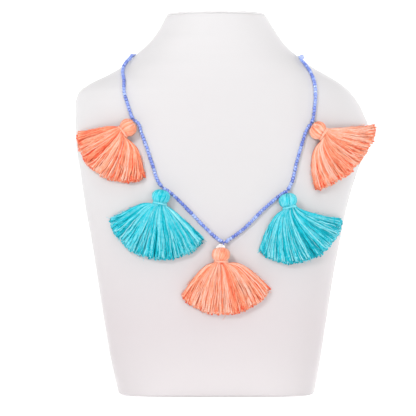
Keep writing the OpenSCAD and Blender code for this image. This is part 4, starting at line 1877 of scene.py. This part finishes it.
    def hanging_loop(self) -> Surface:
        """The loop round the string's bare thread: close turns of an oval that go down into the head.

        Returns:
            The loop as one tube, its turns side by side along the string.
        """
        along = unit(self.string.headings[self.fan.knot + 1])
        to_head = self.head - self.knot
        lower = unit(to_head - (to_head @ along) * along)
        behind = np.cross(along, lower)
        under, r = float(to_head @ lower), self.string.thread_d / 2 + self.loop_r
        angle = np.linspace(0, 2 * np.pi * self.loop_turns, 24 * self.loop_turns + 1)
        half = (under + r) / 2
        shift = self.loop_pitch * self.loop_r * (angle / (2 * np.pi) - self.loop_turns / 2)
        lean = float(to_head @ along) * (1 + np.cos(angle)) / 2
        path = (
            self.knot + (under - r) / 2 * lower + half * np.cos(angle)[:, None] * lower
            + r * np.sin(angle)[:, None] * behind + (shift + lean)[:, None] * along
        )
        return tubes(path[None], np.full((1, len(angle)), self.loop_r), 8, along, np.array([0.9]))

    def white_arch(self) -> Surface:
        """The head's own white thread where it stands out of the top: a bundle bent to a low arch.

        Returns:
            The strands as half rings of three widths.
        """
        width = np.repeat(self.arch_widths, 4)[:, None]
        strand = np.tile([-0.75, -0.25, 0.25, 0.75], 3)[:, None]
        angle = np.linspace(0, np.pi, 17)[None]
        x = width * np.cos(angle) - 0.1 + 0.1 * strand
        z = self.head_l / 2 - 1.0 + (width - 0.12 * np.abs(strand)) * np.sin(angle)
        y = np.broadcast_to(self.string.loop_d * strand, x.shape)
        path = self.head + np.stack([x, y, z], axis=-1)
        tone = np.linspace(0.6, 0.9, len(width))
        return tubes(path, np.full(path.shape[:2], self.arch_r), 8, self.forward, tone)

    def build(self, finishes: Finishes) -> None:
        """Builds the tassel's pieces and ties them to the frame.

        Args:
            finishes: The materials.
        """
        name, yarn = self.fan.name, self.fan.yarn
        body = self.head_core().joined(self.head_folds(), self.skirt(), self.hairs())
        slot = yarn.value + "_thread"
        place(body.to_object("threads_" + name, finishes.yarn[yarn]), slot, "tassel_" + name)
        place(self.hanging_loop().to_object("loop_" + name, finishes.stringing), slot, "tassel_" + name)
        if self.fan.white_loop:
            place(self.white_arch().to_object("arch_" + name, finishes.hanger), slot, "tassel_" + name)
        wound = self.wound_binding().to_object("winding_" + name, finishes.binding[yarn])
        place(wound, yarn.value + "_binding", "binding_" + name)


# ---------------------------------------------------------------------------------------------
# The studio
# ---------------------------------------------------------------------------------------------

@dataclass(frozen=True)
class Lamp:
    """A square soft light, its place and side in metres and its power in watts."""

    name: str
    at: Triple
    size: float
    power: float

    def build(self, aim: Triple) -> None:
        """Builds the light, turned towards the point that it faces.

        Args:
            aim: The point that it faces.
        """
        data = bpy.data.lights.new(self.name, "AREA")
        data.size, data.energy = self.size, self.power
        lamp = bpy.data.objects.new(self.name, data)
        x, y, z = np.array(aim) - np.array(self.at)
        lamp.location = self.at
        lamp.rotation_euler = (-np.arctan2(np.hypot(x, y), -z), 0.0, np.arctan2(x, -y))
        bpy.context.scene.collection.objects.link(lamp)


@dataclass
class Studio:
    """White paper sweep, soft lights and the camera, in metres."""

    camera_at: Triple = (-0.0047, -1.0, 0.1047)
    lens: float = 150.5
    sky: float = 0.10
    floor_reach: float = 8.0
    sweep_at: float = 1.4
    sweep_r: float = 0.6
    wall_h: float = 3.2
    aim: Triple = (0.0, 0.0, 0.10)
    lamps: tuple[Lamp, ...] = (
        Lamp("key", (-0.45, -0.90, 0.65), 0.20, 4.6),
        Lamp("fill", (0.25, -1.30, 0.05), 0.60, 6.95),
        Lamp("top", (0.10, -0.45, 1.10), 0.90, 5.9),
        Lamp("rim_left", (-1.10, 0.35, 0.25), 0.80, 4.2),
        Lamp("rim_right", (1.10, 0.35, 0.25), 0.80, 6.8),
    )

    def paper(self) -> None:
        """The floor and its sweep up behind: a flat part, a quarter turn and a wall."""
        turn = np.radians(np.linspace(0, 90, 24))
        reach, at, r = self.floor_reach / METRE, self.sweep_at / METRE, self.sweep_r / METRE
        y = np.concatenate([[-reach, at], at + r * np.sin(turn), [at + r]])
        z = np.concatenate([[0.0, 0.0], r * (1 - np.cos(turn)), [self.wall_h / METRE]])
        x = np.array([-reach, reach])
        points = np.stack([
            np.broadcast_to(x[None], (len(y), 2)), np.broadcast_to(y[:, None], (len(y), 2)),
            np.broadcast_to(z[:, None], (len(y), 2)),
        ], axis=-1).reshape(-1, 3)
        a = 2 * np.arange(len(y) - 1)
        quads = np.stack([a, a + 1, a + 3, a + 2], axis=1)
        uv = np.zeros((len(quads), 4, 2))
        sheet = Surface(points, [quads], [uv], np.full(len(points), 0.5))
        sheet.to_object("studio_paper", PaperFinish().build())

    def camera(self) -> None:
        """The camera, level, at the photograph's distance and angle."""
        data = bpy.data.cameras.new("camera")
        data.lens, data.sensor_width = self.lens, 36.0
        data.clip_start, data.clip_end = 0.01, 20.0
        camera = bpy.data.objects.new("camera", data)
        camera.location = self.camera_at
        camera.rotation_euler = (np.pi / 2, 0.0, 0.0)
        bpy.context.scene.collection.objects.link(camera)
        bpy.context.scene.camera = camera

    def build(self) -> None:
        """Sets the studio up."""
        scene = bpy.context.scene
        scene.view_settings.view_transform = "Standard"
        world = bpy.data.worlds.new("studio_sky")
        world.use_nodes = True
        sky = world.node_tree.nodes["Background"]
        sky.inputs[0].default_value = (1.0, 1.0, 1.0, 1.0)
        sky.inputs[1].default_value = self.sky
        scene.world = world
        self.paper()
        for lamp in self.lamps:
            lamp.build(self.aim)
        self.camera()


def main() -> None:
    """Builds the studio, the bust, the string and the tassels in order."""
    logging.basicConfig(level=logging.INFO, format="%(message)s")
    finishes = Finishes.build()
    Studio().build()
    bust = Bust()
    bust.build(finishes)
    string = BeadString(bust)
    string.lay(FANS)
    string.build(finishes)
    for fan in FANS:
        Tassel(fan, bust, string).build(finishes)


if __name__ == "__main__":
    main()
